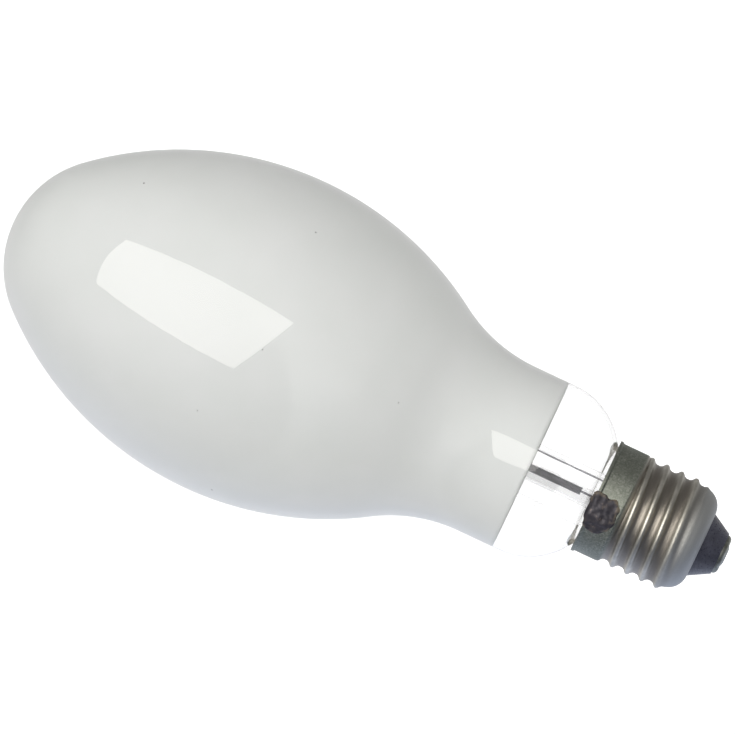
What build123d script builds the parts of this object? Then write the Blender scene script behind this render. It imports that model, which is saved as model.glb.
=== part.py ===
from build123d import *
import os
from math import atan2, cos, degrees, radians, sin, sqrt, tan

# High pressure mercury vapor lamp with a 27 mm screw cap. All sizes are in millimetres.
# The origin is the tip of the centre contact, and +Z runs up the lamp's axis to the dome.
# Heights are measured from that tip. The side lead's solder faces -Y.

# Outer bulb: a blown glass body of revolution
bulb_radius = 37.75
nose_radius = 24.5
dome_rise = 35.2
flank_rise = 60.04
neck_fillet = 36.0
neck_radius = 20.3
neck_length = 9.96
shoulder_radius = 16.5
seal_fillet = 2.5
seal_fillet_drop = 1.89
seal_clear = 0.8
seal_depth = 11.05
bulb_wall = 1.0

# White powder coat inside the bulb
coat_thickness = 0.15
coat_edge_rise = 1.6

# Screw cap: rolled sheet with a round thread
thread_pitch = 25.4 / 7
thread_crest = 13.1
thread_depth = 1.05
crest_arc = 0.65
root_land = 0.05
first_crest_rise = 7.0
thread_lead_in = 1.6
thread_run_out = 2.55
fade_rise = 3.4
fade_length = 1.8
cap_sheet = 0.3
cap_floor_height = 6.1
cap_hole = 7.6
cap_shoulder_arc = 4.4
thread_length = 18.6
skirt_rise = 1.2
skirt_clear = 0.05
step_fillet = 0.6
skirt_length = 7.35
lip_height = 0.9
lip_flare = 0.3

# Moulded glass insulator
insulator_foot = 4.95
insulator_flange_angle = 46.0
insulator_flange = 1.0
insulator_boss_radius = 2.8
insulator_bowl_drop = 0.9
insulator_boss_rise = 0.4

# Centre contact and its eyelet
contact_radius = 4.6
contact_height = 1.45
contact_sheet = 0.35
contact_edge_arc = 1.1
eyelet_radius = 1.65
eyelet_bore = 1.15
eyelet_over = 1.1

# Solder on the centre contact
tip_flat = 1.2
tip_radius = 2.6
tip_bulge = 0.12
tip_plug_height = 3.0

# Cement between neck and skirt
cement_depth = 5.65
cement_recess = 0.35

# Stem: flare, tube and press
stem_offset = 1.4
stem_gap = 2.05
stem_wall = 1.1
flare_lip = 1.2
flare_gap = 0.2
flare_height = 7.0
flare_waist = 0.4
stem_length = 30.0
flatten_length = 9.0
press_length = 8.0
press_width = 16.0
press_thickness = 3.2
press_corner = 1.4
cavity_length = 5.0
cavity_half_width = 6.4
cavity_half_slot = 0.5

# Exhaust tube
exhaust_radius = 2.15
exhaust_wall = 0.8
exhaust_reach = 7.0
exhaust_socket = 1.2
blow_hole_radius = 0.8
blow_hole_drop = 0.4

# Outer leads and the sleeve on one of them
outer_lead_radius = 0.25
lead_clear = 0.1
lead_turn_drop = 3.0
eyelet_entry_over = 1.9
lead_end_height = 1.0
sleeve_radius = 0.8
sleeve_clear = 0.05
sleeve_length = 13.4
sleeve_drop = 2.1
sleeve_angle = -78.0
sleeve_run_in = 0.8
solder_angle = 255.0
rim_lean_drop = 2.45
rim_lead_inset = 0.35
rim_lead_over = 0.25
centre_lead_bend = 3.0
sleeve_bend = 0.5
loop_bend = 2.0
rim_bend = 1.0

# Press wires and inner leads
press_wire_radius = 0.4
inner_lead_radius = 0.5
inner_lead_length = 6.0

# Arc tube of quartz, with a pinch at each end
arc_radius = 5.5
arc_wall = 1.0
arc_corner = 4.5
arc_body_length = 50.0
pinch_length = 11.0
pinch_width = 11.0
pinch_thickness = 3.0
pinch_corner = 1.2
tip_off_radius = 1.3
tip_off_end_radius = 0.5
tip_off_length = 2.2

# Electrodes, foils and their leads
electrode_reach = 9.0
electrode_radius = 0.5
coil_wire_radius = 0.3
coil_clear = 0.03
coil_pitch = 0.78
coil_turns = 5.0
coil_setback = 1.2
starter_offset = 3.2
starter_radius = 0.3
starter_reach = 4.0
foil_width = 2.5
foil_thickness = 0.1
foil_length = 5.5
lower_lead_gap = 3.0
lower_lead_out = 7.0
upper_lead_out = 6.3
starter_lead_out = 3.5
mercury_radius = 1.0
mercury_clear = 0.05

# Support frame, clamps and ribbons
frame_rod_radius = 0.9
frame_gap = 4.1
frame_foot = 3.0
frame_splay = 5.0
frame_arm_over = 9.0
frame_arm_reach = 3.0
frame_bend = 2.0
clamp_sheet = 0.3
clamp_clear = 0.05
clamp_height = 4.0
clamp_inset = 3.5
ribbon_sheet = 0.15
ribbon_width = 2.5
ribbon_overhang = 0.9
ribbon_fold = 1.0

# Starting resistor and its leads
resistor_radius = 1.5
resistor_length = 8.0
resistor_offset = 5.5
resistor_shift = -2.0
resistor_above_lead_end = 1.0
resistor_cap_sheet = 0.15
resistor_cap_depth = 1.5
resistor_lead_radius = 0.25
resistor_lead_bend = 0.8

# Side solder, as soft drops that have run together
solder_drop_below_rim = 2.85
solder_radius = 3.1
solder_thickness = 1.45
solder_shift = 1.1
second_drop_radius = 2.6
second_drop_thickness = 1.25
second_drop_shift = 1.7
second_drop_low = 0.5
rim_drop_radius = 0.8
rim_drop_rise = 0.1

# Radii and heights of the cap, worked out from the driving sizes
core_radius = thread_crest - thread_depth + root_land
skirt_radius = thread_crest + skirt_clear
root_arc = (thread_depth**2 + thread_pitch**2 / 4) / (2 * thread_depth) - crest_arc
crest_height = cap_floor_height + first_crest_rise
thread_start = crest_height - thread_lead_in * thread_pitch
skirt_height = cap_floor_height + thread_length
thread_turns = (skirt_height + thread_run_out - thread_start) / thread_pitch
fade_low = cap_floor_height + fade_rise
rim_height = skirt_height + skirt_length
eyelet_height = cap_floor_height + insulator_boss_rise + eyelet_over

# Outline of the bulb, worked out from the sealed neck up to the dome
seal_radius = core_radius - cap_sheet - seal_clear
seal_height = rim_height - seal_depth
seal_fillet_height = rim_height - seal_fillet_drop
seal_fillet_r = seal_radius + seal_fillet
shoulder_r = neck_radius - shoulder_radius
seal_reach = shoulder_radius + seal_fillet
shoulder_height = seal_fillet_height + sqrt(seal_reach**2 - (seal_fillet_r - shoulder_r) ** 2)
neck_top = shoulder_height + neck_length
widest_height = neck_top + flank_rise
flank_offset = neck_radius + neck_fillet - bulb_radius
flank_radius = (flank_rise**2 + flank_offset**2 - neck_fillet**2) / (
    2 * (neck_fillet - flank_offset)
)
dome_radius = (dome_rise**2 + bulb_radius**2 - nose_radius**2) / (
    2 * (bulb_radius - nose_radius)
)
nose_height = widest_height + dome_rise
lamp_length = nose_height + nose_radius
coat_edge_height = shoulder_height + coat_edge_rise

# Stem, leads and mount, worked out from the sealed neck up to the frame's arm
stem_radius = seal_radius - bulb_wall - stem_offset - stem_gap
stem_x = -stem_offset
stem_bore = stem_radius - stem_wall
lead_spread = stem_bore - lead_clear - outer_lead_radius
stem_flatten_height = seal_height + stem_length
press_height = stem_flatten_height + flatten_length
press_top_height = press_height + press_length
cavity_top = stem_flatten_height + cavity_length
lead_turn_height = seal_height - lead_turn_drop
sleeve_high = stem_flatten_height - sleeve_drop
sleeve_low = sleeve_high - sleeve_length
rim_lead_radius = skirt_radius - rim_lead_inset
solder_height = rim_height - solder_drop_below_rim
pinch_end = arc_body_length / 2 + pinch_length
foil_near = arc_body_length / 2 + (pinch_length - foil_length) / 2
foil_far = foil_near + foil_length
electrode_tip = arc_body_length / 2 - electrode_reach
lower_lead_end = press_top_height + lower_lead_gap
arc_height = lower_lead_end + lower_lead_out + pinch_end
frame_x = -(arc_radius + frame_gap + frame_rod_radius)
frame_arm_height = arc_height + pinch_end + frame_arm_over
starter_lead_end = arc_height - pinch_end - starter_lead_out


def turned(section):
    """A section drawn as radius and height, turned about the lamp's axis."""
    return revolve(Plane.XZ * section, Axis.Z, 360)


def arc(centre, radius, start, end):
    """An arc between two directions in degrees."""
    return CenterArc(centre, radius, start, end - start)


def outline(*points):
    """A flat face inside straight edges."""
    return make_face(Polyline(*points, close=True))


def wire_along(radius, points, bend):
    """A round wire that follows straight runs joined by arcs."""
    path = FilletPolyline(*points, radius=bend)
    return sweep(Plane(origin=path @ 0, z_dir=path % 0) * Circle(radius), path=path)


def rod(radius, low, high, x=0.0, y=0.0):
    """An upright round rod between two heights."""
    return extrude(Plane.XY.offset(low) * Pos(x, y) * Circle(radius), high - low)


def slab(half_width, half_depth, low, high):
    """An upright block between two heights."""
    section = Rectangle(2 * half_width, 2 * half_depth)
    return extrude(Plane.XY.offset(low) * section, high - low)


# Outer bulb and its coat


def heading(start, end):
    """Direction in degrees from one point of a section to another."""
    return degrees(atan2(end[1] - start[1], end[0] - start[0]))


def bulb_section(inset):
    """Half section of the bulb out to its surface, or to a surface the inset further in."""
    fillet_at = (seal_fillet_r, seal_fillet_height)
    shoulder_at = (shoulder_r, shoulder_height)
    neck_at = (neck_radius + neck_fillet, neck_top)
    flank_at = (bulb_radius - flank_radius, widest_height)
    dome_at = (bulb_radius - dome_radius, widest_height)
    nose_at = (0, nose_height)
    to_shoulder = heading(fillet_at, shoulder_at)
    to_flank = heading(neck_at, flank_at)
    to_nose = heading(dome_at, nose_at)
    fillet = arc(fillet_at, seal_fillet + inset, 180, to_shoulder)
    shoulder = arc(shoulder_at, shoulder_radius - inset, to_shoulder - 180, 0)
    neck = arc(neck_at, neck_fillet + inset, 180, to_flank)
    lower = arc(flank_at, flank_radius - inset, to_flank - 180, 0)
    dome = arc(dome_at, dome_radius - inset, 0, to_nose)
    nose = arc(nose_at, nose_radius - inset, to_nose, 90)
    foot = (seal_radius - inset, seal_height)
    seal_line = Line(foot, fillet @ 0)
    neck_line = Line(shoulder @ 1, neck @ 0)
    axis_line = Line(nose @ 1, (0, seal_height))
    base_line = Line((0, seal_height), foot)
    edges = [seal_line, fillet, shoulder, neck_line, neck, lower, dome, nose]
    return make_face(edges + [axis_line, base_line])


def outer_bulb():
    """Blown glass, one piece from the sealed neck to the dome."""
    return turned(bulb_section(0) - bulb_section(bulb_wall))


def phosphor_coating():
    """Powder coat on the inner face, wiped off below a sharp edge in the neck."""
    skin = bulb_section(bulb_wall) - bulb_section(bulb_wall + coat_thickness)
    top = lamp_length - coat_edge_height
    coated = Pos(bulb_radius, coat_edge_height + top / 2) * Rectangle(2 * bulb_radius, top)
    return turned(skin & coated)


# Screw cap


def step_corner(radius, height, slope, inset):
    """A corner of the rolled sheet, moved inward with the sheet's surface."""
    return (radius - inset, height + inset * tan(slope / 2))


def cap_section(inset):
    """Half section of the cap without its thread, out to a surface of the sheet."""
    centre = (core_radius - cap_shoulder_arc, cap_floor_height + cap_shoulder_arc)
    shoulder = arc(centre, cap_shoulder_arc - inset, -90, 0)
    step_slope = atan2(skirt_radius - core_radius, skirt_rise)
    lip_slope = radians(45)
    lip_low = rim_height - lip_height
    bends = [
        shoulder @ 1,
        step_corner(core_radius, skirt_height, step_slope, inset),
        step_corner(skirt_radius, skirt_height + skirt_rise, step_slope, inset),
        step_corner(skirt_radius, lip_low, lip_slope, inset),
        step_corner(skirt_radius + lip_flare, lip_low + lip_flare, lip_slope, inset),
        (skirt_radius + lip_flare - inset, rim_height),
    ]
    hollow = step_fillet + inset
    rounded = step_fillet - inset
    side = FilletPolyline(*bends, radius=[hollow, rounded, lip_flare, lip_flare])
    floor_line = Line((0, cap_floor_height + inset), shoulder @ 0)
    rim_line = Line(side @ 1, (0, rim_height))
    axis_line = Line((0, rim_height), (0, cap_floor_height + inset))
    return make_face([floor_line, shoulder, side, rim_line, axis_line])


def thread_ridge(inset):
    """Right-hand helical ridge of tangent crest and root arcs, with its foot in the core."""
    crest_at = (thread_crest - crest_arc, 0)
    root_at = (thread_crest - thread_depth + root_arc, thread_pitch / 2)
    root_radius = root_arc + inset
    toward = degrees(atan2(root_at[1], root_at[0] - crest_at[0]))
    sink = root_at[0] - (core_radius - root_land / 2 - inset)
    spread = degrees(atan2(sqrt(root_radius**2 - sink**2), sink))
    crest = arc(crest_at, crest_arc - inset, -toward, toward)
    upper = arc(root_at, root_radius, toward - 180, -180 + spread)
    lower = arc((root_at[0], -root_at[1]), root_radius, 180 - spread, 180 - toward)
    foot_radius = core_radius - inset - thread_depth / 2
    upper_foot = (foot_radius, (upper @ 1).Y)
    lower_foot = (foot_radius, (lower @ 0).Y)
    profile = make_face(
        [
            lower,
            crest,
            upper,
            Line(upper @ 1, upper_foot),
            Line(upper_foot, lower_foot),
            Line(lower_foot, lower @ 0),
        ]
    )
    height = thread_turns * thread_pitch
    path = Helix(thread_pitch, height, core_radius, center=(0, 0, thread_start))
    ridge = sweep(Plane.XZ * Pos(0, thread_start) * profile, path=path, is_frenet=True)
    return Rot(0, 0, -360 * thread_lead_in) * ridge


def thread_fade(inset):
    """Body of revolution whose cone lets the first turn rise out of the shoulder."""
    slope = thread_depth / fade_length
    root = thread_crest - thread_depth
    low = fade_low - 2 * fade_length
    outer = thread_crest + thread_depth / 2
    high = fade_low + (outer - root) / slope
    top = skirt_height + thread_pitch
    return turned(
        outline(
            (0, low),
            (root - slope * (fade_low - low) - inset, low),
            (outer - inset, high),
            (outer - inset, top),
            (0, top),
        )
    )


def cap_shell():
    """Sheet of one thickness that follows the thread inside and out."""
    outside = turned(cap_section(0)) + (thread_ridge(0) & thread_fade(0))
    inside = turned(cap_section(cap_sheet)) + (thread_ridge(cap_sheet) & thread_fade(cap_sheet))
    hole = rod(cap_hole, 0, cap_floor_height + cap_shoulder_arc)
    return outside - inside - hole


def cap_insulator():
    """Glass cone below the cap's hole, with a flange inside it and a bore for the eyelet."""
    centre = (core_radius - cap_shoulder_arc, cap_floor_height + cap_shoulder_arc)
    reach = cap_shoulder_arc - cap_sheet
    flange = arc(centre, reach, -90, insulator_flange_angle - 90)
    floor = cap_floor_height + cap_sheet
    inner_arc = contact_edge_arc - contact_sheet
    edge_at = (contact_radius - contact_edge_arc, contact_height)
    edge = arc(edge_at, inner_arc, -90, 0)
    flange_top = ((flange @ 1).X - insulator_flange / 2, (flange @ 1).Y + insulator_flange)
    foot = contact_height - inner_arc
    profile = [
        Line((eyelet_radius, foot), edge @ 0),
        edge,
        Polyline(edge @ 1, (insulator_foot, contact_height), (cap_hole, cap_floor_height)),
        Polyline((cap_hole, cap_floor_height), (cap_hole, floor), flange @ 0),
        flange,
        Polyline(
            flange @ 1,
            flange_top,
            (insulator_boss_radius, cap_floor_height - insulator_bowl_drop),
            (insulator_boss_radius, cap_floor_height + insulator_boss_rise),
            (eyelet_radius, cap_floor_height + insulator_boss_rise),
            (eyelet_radius, foot),
        ),
    ]
    return turned(make_face(profile))


def centre_contact():
    """Pressed metal cup under the insulator, drawn up into an eyelet."""
    edge_at = (contact_radius - contact_edge_arc, contact_height)
    low = contact_height - contact_edge_arc
    outer = arc(edge_at, contact_edge_arc, -90, 0)
    inner = arc(edge_at, contact_edge_arc - contact_sheet, 0, -90)
    profile = [
        Line((eyelet_bore, low), outer @ 0),
        outer,
        Line(outer @ 1, inner @ 0),
        inner,
        Polyline(
            inner @ 1,
            (eyelet_radius, low + contact_sheet),
            (eyelet_radius, eyelet_height),
            (eyelet_bore, eyelet_height),
            (eyelet_bore, low),
        ),
    ]
    return turned(make_face(profile))


def centre_solder():
    """Solder that closes the eyelet and stands below it as a flattened drop."""
    low = contact_height - contact_edge_arc
    drop = SagittaArc((tip_flat, 0), (tip_radius, low), -tip_bulge)
    profile = [
        Line((0, 0), (tip_flat, 0)),
        drop,
        Polyline(
            drop @ 1,
            (eyelet_bore, low),
            (eyelet_bore, tip_plug_height),
            (0, tip_plug_height),
            (0, 0),
        ),
    ]
    return turned(make_face(profile)) - centre_outer_lead()


def cement_section():
    """Half section of the cement between neck and skirt, ending just inside the rim."""
    inner_skirt = skirt_radius - cap_sheet
    wide = inner_skirt + lip_flare
    middle = rim_height - cement_recess - cement_depth / 2
    fill = Pos(wide / 2, middle) * Rectangle(wide, cement_depth)
    return (cap_section(cap_sheet) & fill) - bulb_section(0)


def cap_cement():
    """Baked cement ring, with a channel where the side lead passes."""
    return turned(cement_section()) - side_outer_lead()


# Stem


def stem_shape(bore):
    """Flare and tube out to the outer face, or to the bore, up to where they flatten."""
    wall = stem_wall if bore else 0.0
    lip_radius = seal_radius - bulb_wall - flare_gap - wall
    tube_radius = stem_radius - wall
    low = seal_height - flare_lip
    waist_radius = tube_radius + (lip_radius - tube_radius) * flare_waist
    waist_z = low + flare_height * flare_waist
    rings = [
        Plane.XY.offset(low) * Circle(lip_radius),
        Plane.XY.offset(waist_z) * Pos(stem_x / 2, 0) * Circle(waist_radius),
        Plane.XY.offset(low + flare_height) * Pos(stem_x, 0) * Circle(tube_radius),
    ]
    flare = loft(rings)
    return flare + rod(tube_radius, low + flare_height, stem_flatten_height, stem_x)


def stem_flare():
    """Glass flare with its tube flattened into the press that seals the wires."""
    low = seal_height - flare_lip
    lip = rod(seal_radius, low, seal_height)
    round_end = Plane.XY.offset(stem_flatten_height) * Pos(stem_x, 0) * Circle(stem_radius)
    flat_end = (
        Plane.XY.offset(press_height)
        * Pos(stem_x, 0)
        * Ellipse(press_width / 2, press_thickness / 2)
    )
    press = extrude(
        Plane.XY.offset(press_height)
        * Pos(stem_x, 0)
        * RectangleRounded(press_width, press_thickness, press_corner),
        press_top_height - press_height,
    )
    glass = stem_shape(False) + lip + loft([round_end, flat_end]) + press
    bore_end = Plane.XY.offset(stem_flatten_height) * Pos(stem_x, 0) * Circle(stem_bore)
    slot_end = (
        Plane.XY.offset(cavity_top)
        * Pos(stem_x, 0)
        * Ellipse(cavity_half_width, cavity_half_slot)
    )
    glass -= stem_shape(True) + loft([bore_end, slot_end])
    glass -= rod(exhaust_radius, stem_flatten_height, cavity_top + exhaust_socket, stem_x)
    glass -= blow_hole()
    return glass - press_seal_wires()


def blow_hole():
    """Side hole through which the bulb was pumped and filled."""
    centre = (stem_x, 0, cavity_top - blow_hole_drop)
    return extrude(
        Plane(origin=centre, z_dir=(0, 1, 0)) * Circle(blow_hole_radius), stem_radius
    )


def exhaust_tube():
    """Pumping tube, melted shut at its lower tip."""
    bore = exhaust_radius - exhaust_wall
    round_height = seal_height - exhaust_reach + exhaust_radius
    high = cavity_top + exhaust_socket
    outer = arc((0, round_height), exhaust_radius, -90, 0)
    inner = arc((0, round_height), bore, 0, -90)
    profile = [
        outer,
        Polyline(outer @ 1, (exhaust_radius, high), (bore, high), inner @ 0),
        inner,
        Line(inner @ 1, outer @ 0),
    ]
    return Pos(stem_x, 0) * turned(make_face(profile)) - blow_hole()


def press_seal_wires():
    """The two wires that pass through the glass of the press."""
    left = rod(press_wire_radius, cavity_top, press_top_height, stem_x - lead_spread)
    right = rod(press_wire_radius, cavity_top, press_top_height, stem_x + lead_spread)
    return left + right


# Outer leads


def centre_outer_lead():
    """Thin wire down the stem and through the eyelet into the solder of the contact."""
    x = stem_x + lead_spread
    points = [
        (x, 0, cavity_top),
        (x, 0, lead_turn_height),
        (0, 0, eyelet_height + eyelet_entry_over),
        (0, 0, lead_end_height),
    ]
    return wire_along(outer_lead_radius, points, centre_lead_bend)


def sleeve_place():
    """Place of the sleeved run, midway between the exhaust tube and the stem's bore."""
    reach = (exhaust_radius + stem_bore) / 2
    turn = radians(sleeve_angle)
    return (stem_x + reach * cos(turn), reach * sin(turn))


def side_outer_lead():
    """Thin wire down the stem, round the sealed end and up to the rim of the cap."""
    start_x = stem_x - lead_spread
    x, y = sleeve_place()
    turn = radians(solder_angle)
    reach = (seal_radius + core_radius - cap_sheet) / 2
    along = (cos(turn), sin(turn))
    points = [
        (start_x, 0, cavity_top),
        (start_x, 0, cavity_top - sleeve_run_in),
        (x, y, sleeve_high + sleeve_run_in),
        (x, y, lead_turn_height),
        (reach * along[0], reach * along[1], lead_turn_height),
        (reach * along[0], reach * along[1], rim_height - rim_lean_drop),
        (
            rim_lead_radius * along[0],
            rim_lead_radius * along[1],
            rim_height + rim_lead_over,
        ),
    ]
    bends = [sleeve_bend, sleeve_bend, loop_bend, loop_bend, rim_bend]
    return wire_along(outer_lead_radius, points, bends)


def side_lead_sleeve():
    """Sleeve over the straight run of the side lead."""
    x, y = sleeve_place()
    bore = rod(outer_lead_radius + sleeve_clear, sleeve_low, sleeve_high, x, y)
    return rod(sleeve_radius, sleeve_low, sleeve_high, x, y) - bore


def solder_drop(radius, thickness, shift, height):
    """Ball whose part outside the skirt is a drop of the given radius and thickness."""
    ball_radius = (radius**2 + thickness**2) / (2 * thickness)
    centre = (skirt_radius + thickness - ball_radius, shift, height)
    return Pos(*centre) * Sphere(ball_radius)


def side_solder():
    """Solder drops that have run together on the skirt and over the rim to the side lead."""
    blob = solder_drop(solder_radius, solder_thickness, -solder_shift, solder_height)
    blob += solder_drop(
        second_drop_radius,
        second_drop_thickness,
        second_drop_shift,
        solder_height - second_drop_low,
    )
    rim_reach = (skirt_radius + lip_flare + rim_lead_radius) / 2
    for side in (-1, 0, 1):
        drop = Sphere(rim_drop_radius)
        blob += Pos(rim_reach, side * rim_drop_radius, rim_height + rim_drop_rise) * drop
    placed = Rot(0, 0, solder_angle) * blob
    behind = cap_section(0) + cement_section() + bulb_section(0)
    return placed - turned(behind) - side_outer_lead()


# Arc tube, built about its own centre with +Z towards one end


def rounded_section(radius, half_length, corner):
    """Half section of a closed round tube with rounded ends."""
    upper = arc((radius - corner, half_length - corner), corner, 0, 90)
    lower = arc((radius - corner, corner - half_length), corner, -90, 0)
    profile = [
        lower,
        Line(lower @ 1, upper @ 0),
        upper,
        Polyline(upper @ 1, (0, half_length), (0, -half_length), lower @ 0),
    ]
    return make_face(profile)


def upper_end(shape):
    """Place a shape made about the arc tube's centre at the upper end."""
    return Pos(0, 0, arc_height) * shape


def lower_end(shape):
    """Place a shape made about the arc tube's centre at the lower end."""
    return Pos(0, 0, arc_height) * Rot(180, 0, 0) * shape


def seal_channel(x):
    """Space of one foil with its rod and lead in a pinch."""
    return electrode_rod(x) + seal_foil(x) + seal_lead(x, lower_lead_out)


def electrode_rod(x=0.0):
    """Tungsten rod from the foil into the discharge space."""
    return rod(electrode_radius, electrode_tip, foil_near, x)


def seal_foil(x=0.0):
    """Molybdenum foil in the pinch."""
    return Pos(x, 0) * slab(foil_width / 2, foil_thickness / 2, foil_near, foil_far)


def seal_lead(x, lead_out):
    """Lead from the foil out of the pinch."""
    return rod(electrode_radius, foil_far, pinch_end + lead_out, x)


def starter_rod():
    """Thin starting electrode beside the main one."""
    low = arc_body_length / 2 - arc_wall - starter_reach
    return rod(starter_radius, low, foil_near, starter_offset)


def electrode_coil():
    """Emitter coil wound on the electrode just behind its tip."""
    radius = electrode_radius + coil_wire_radius + coil_clear
    low = electrode_tip + coil_setback
    path = Helix(coil_pitch, coil_turns * coil_pitch, radius, center=(0, 0, low))
    ring = Plane(origin=path @ 0, z_dir=path % 0) * Circle(coil_wire_radius)
    return sweep(ring, path=path, is_frenet=True)


def arc_tube():
    """Quartz tube, with the foils sealed in its pinches and a tip where it was filled."""
    half = arc_body_length / 2
    body = turned(rounded_section(arc_radius, half, arc_corner))
    section = RectangleRounded(pinch_width, pinch_thickness, pinch_corner)
    reach = pinch_length + arc_corner
    pinch = extrude(Plane.XY.offset(half - arc_corner) * section, reach)
    tip = Plane.XZ * Pos(0, 0, -arc_radius + arc_wall / 2)
    tip_off = loft(
        [
            tip * Circle(tip_off_radius),
            tip * Pos(0, 0, -tip_off_length) * Circle(tip_off_end_radius),
        ]
    )
    cavity = turned(rounded_section(arc_radius - arc_wall, half - arc_wall, arc_corner - arc_wall))
    quartz = body + pinch + Rot(180, 0, 0) * pinch + tip_off - cavity
    starter = starter_rod() + seal_foil(starter_offset)
    starter += seal_lead(starter_offset, starter_lead_out)
    lower = Rot(180, 0, 0) * (seal_channel(0) + starter)
    return upper_end(quartz - seal_channel(0) - lower)


def mercury_bead():
    """Drop of mercury that lies in the lower end beside the electrode."""
    out = electrode_radius + mercury_radius + mercury_clear
    corner = arc_corner - arc_wall
    corner_r = arc_radius - arc_wall - corner
    corner_z = arc_body_length / 2 - arc_wall - corner
    reach = corner - mercury_radius - mercury_clear
    drop = sqrt(reach**2 - max(out - corner_r, 0) ** 2)
    return lower_end(Pos(-out, 0, corner_z + drop) * Sphere(mercury_radius))


# Support frame and connections


def support_frame():
    """One rod, bent from the press up past the arc tube and over its upper end."""
    foot_x = stem_x - lead_spread
    points = [
        (foot_x, 0, press_top_height),
        (foot_x, 0, press_top_height + frame_foot),
        (frame_x, 0, press_top_height + frame_foot + frame_splay),
        (frame_x, 0, frame_arm_height),
        (frame_arm_reach, 0, frame_arm_height),
    ]
    return wire_along(frame_rod_radius, points, frame_bend)


def centre_inner_lead():
    """Short lead on top of the press."""
    high = press_top_height + inner_lead_length
    return rod(inner_lead_radius, press_top_height, high, stem_x + lead_spread)


def pinch_clamp():
    """Strap folded round a pinch and the rod of the frame."""
    half_width = pinch_width / 2 + clamp_clear
    half_depth = pinch_thickness / 2 + clamp_clear
    grip = frame_rod_radius + clamp_clear
    hollow = outline(
        (half_width, half_depth),
        (-half_width, half_depth),
        (frame_x, grip),
        (frame_x, -grip),
        (-half_width, -half_depth),
        (half_width, -half_depth),
    )
    hollow += Pos(frame_x, 0) * Circle(grip)
    strap = offset(hollow, clamp_sheet) - hollow
    low = arc_body_length / 2 + clamp_inset
    return extrude(Plane.XY.offset(low) * strap, clamp_height)


def folded_strip(points, width):
    """Thin ribbon that follows points in the XY plane, with its width along Z."""
    path = Polyline(*points)
    face = offset(path, ribbon_sheet / 2, kind=Kind.INTERSECTION)
    return extrude(make_face(face.edges()), width / 2, both=True)


def lower_ribbon():
    """Ribbon from the short lead to the arc tube's lower lead, with a fold for stretch."""
    far_x = stem_x + lead_spread
    back = electrode_radius + ribbon_sheet / 2
    middle = far_x / 2
    points = [
        (-ribbon_overhang, back),
        (middle - ribbon_fold, back),
        (middle, back + ribbon_fold),
        (middle + ribbon_fold, back),
        (far_x + ribbon_overhang, back),
    ]
    low = lower_lead_end
    high = press_top_height + inner_lead_length
    return Pos(0, 0, (low + high) / 2) * folded_strip(points, ribbon_width)


def upper_ribbon():
    """Ribbon from the arc tube's upper lead to the arm of the frame."""
    lead_top = arc_height + pinch_end + upper_lead_out
    arm_back = frame_rod_radius + ribbon_sheet / 2
    lead_back = electrode_radius + ribbon_sheet / 2
    points = [
        (lead_top - 3 * ribbon_overhang, lead_back),
        (lead_top - ribbon_overhang, lead_back),
        (frame_arm_height - frame_rod_radius, arm_back),
        (frame_arm_height + frame_rod_radius, arm_back),
    ]
    return Rot(0, -90, 0) * folded_strip(points, ribbon_width)


# Starting resistor


def resistor_frame():
    """Plane at the resistor's middle whose Z runs along it."""
    height = starter_lead_end + resistor_above_lead_end
    centre = (resistor_shift, resistor_offset, height)
    return Plane(origin=centre, x_dir=(0, 0, 1), z_dir=(1, 0, 0))


def starting_resistor():
    """Ceramic body of the resistor."""
    body = extrude(Circle(resistor_radius), resistor_length / 2, both=True)
    return resistor_frame() * body


def resistor_end_caps():
    """Pressed caps over both ends of the ceramic body."""
    out = resistor_length / 2
    outer_radius = resistor_radius + resistor_cap_sheet
    cup = rod(outer_radius, out - resistor_cap_depth, out + resistor_cap_sheet)
    cup -= rod(resistor_radius, out - resistor_cap_depth, out)
    return resistor_frame() * (cup + Rot(180, 0, 0) * cup)


def resistor_leads():
    """Wires from the caps to the frame and to the starting electrode's lead."""
    height = starter_lead_end + resistor_above_lead_end
    half = resistor_length / 2 + resistor_cap_sheet
    frame_side = [
        (resistor_shift - half, resistor_offset, height),
        (frame_x, resistor_offset, height),
        (frame_x, frame_rod_radius, height),
    ]
    starter_side = [
        (resistor_shift + half, resistor_offset, height),
        (starter_offset, resistor_offset, height),
        (starter_offset, electrode_radius, height),
    ]
    left = wire_along(resistor_lead_radius, frame_side, resistor_lead_bend)
    return left + wire_along(resistor_lead_radius, starter_side, resistor_lead_bend)


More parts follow.
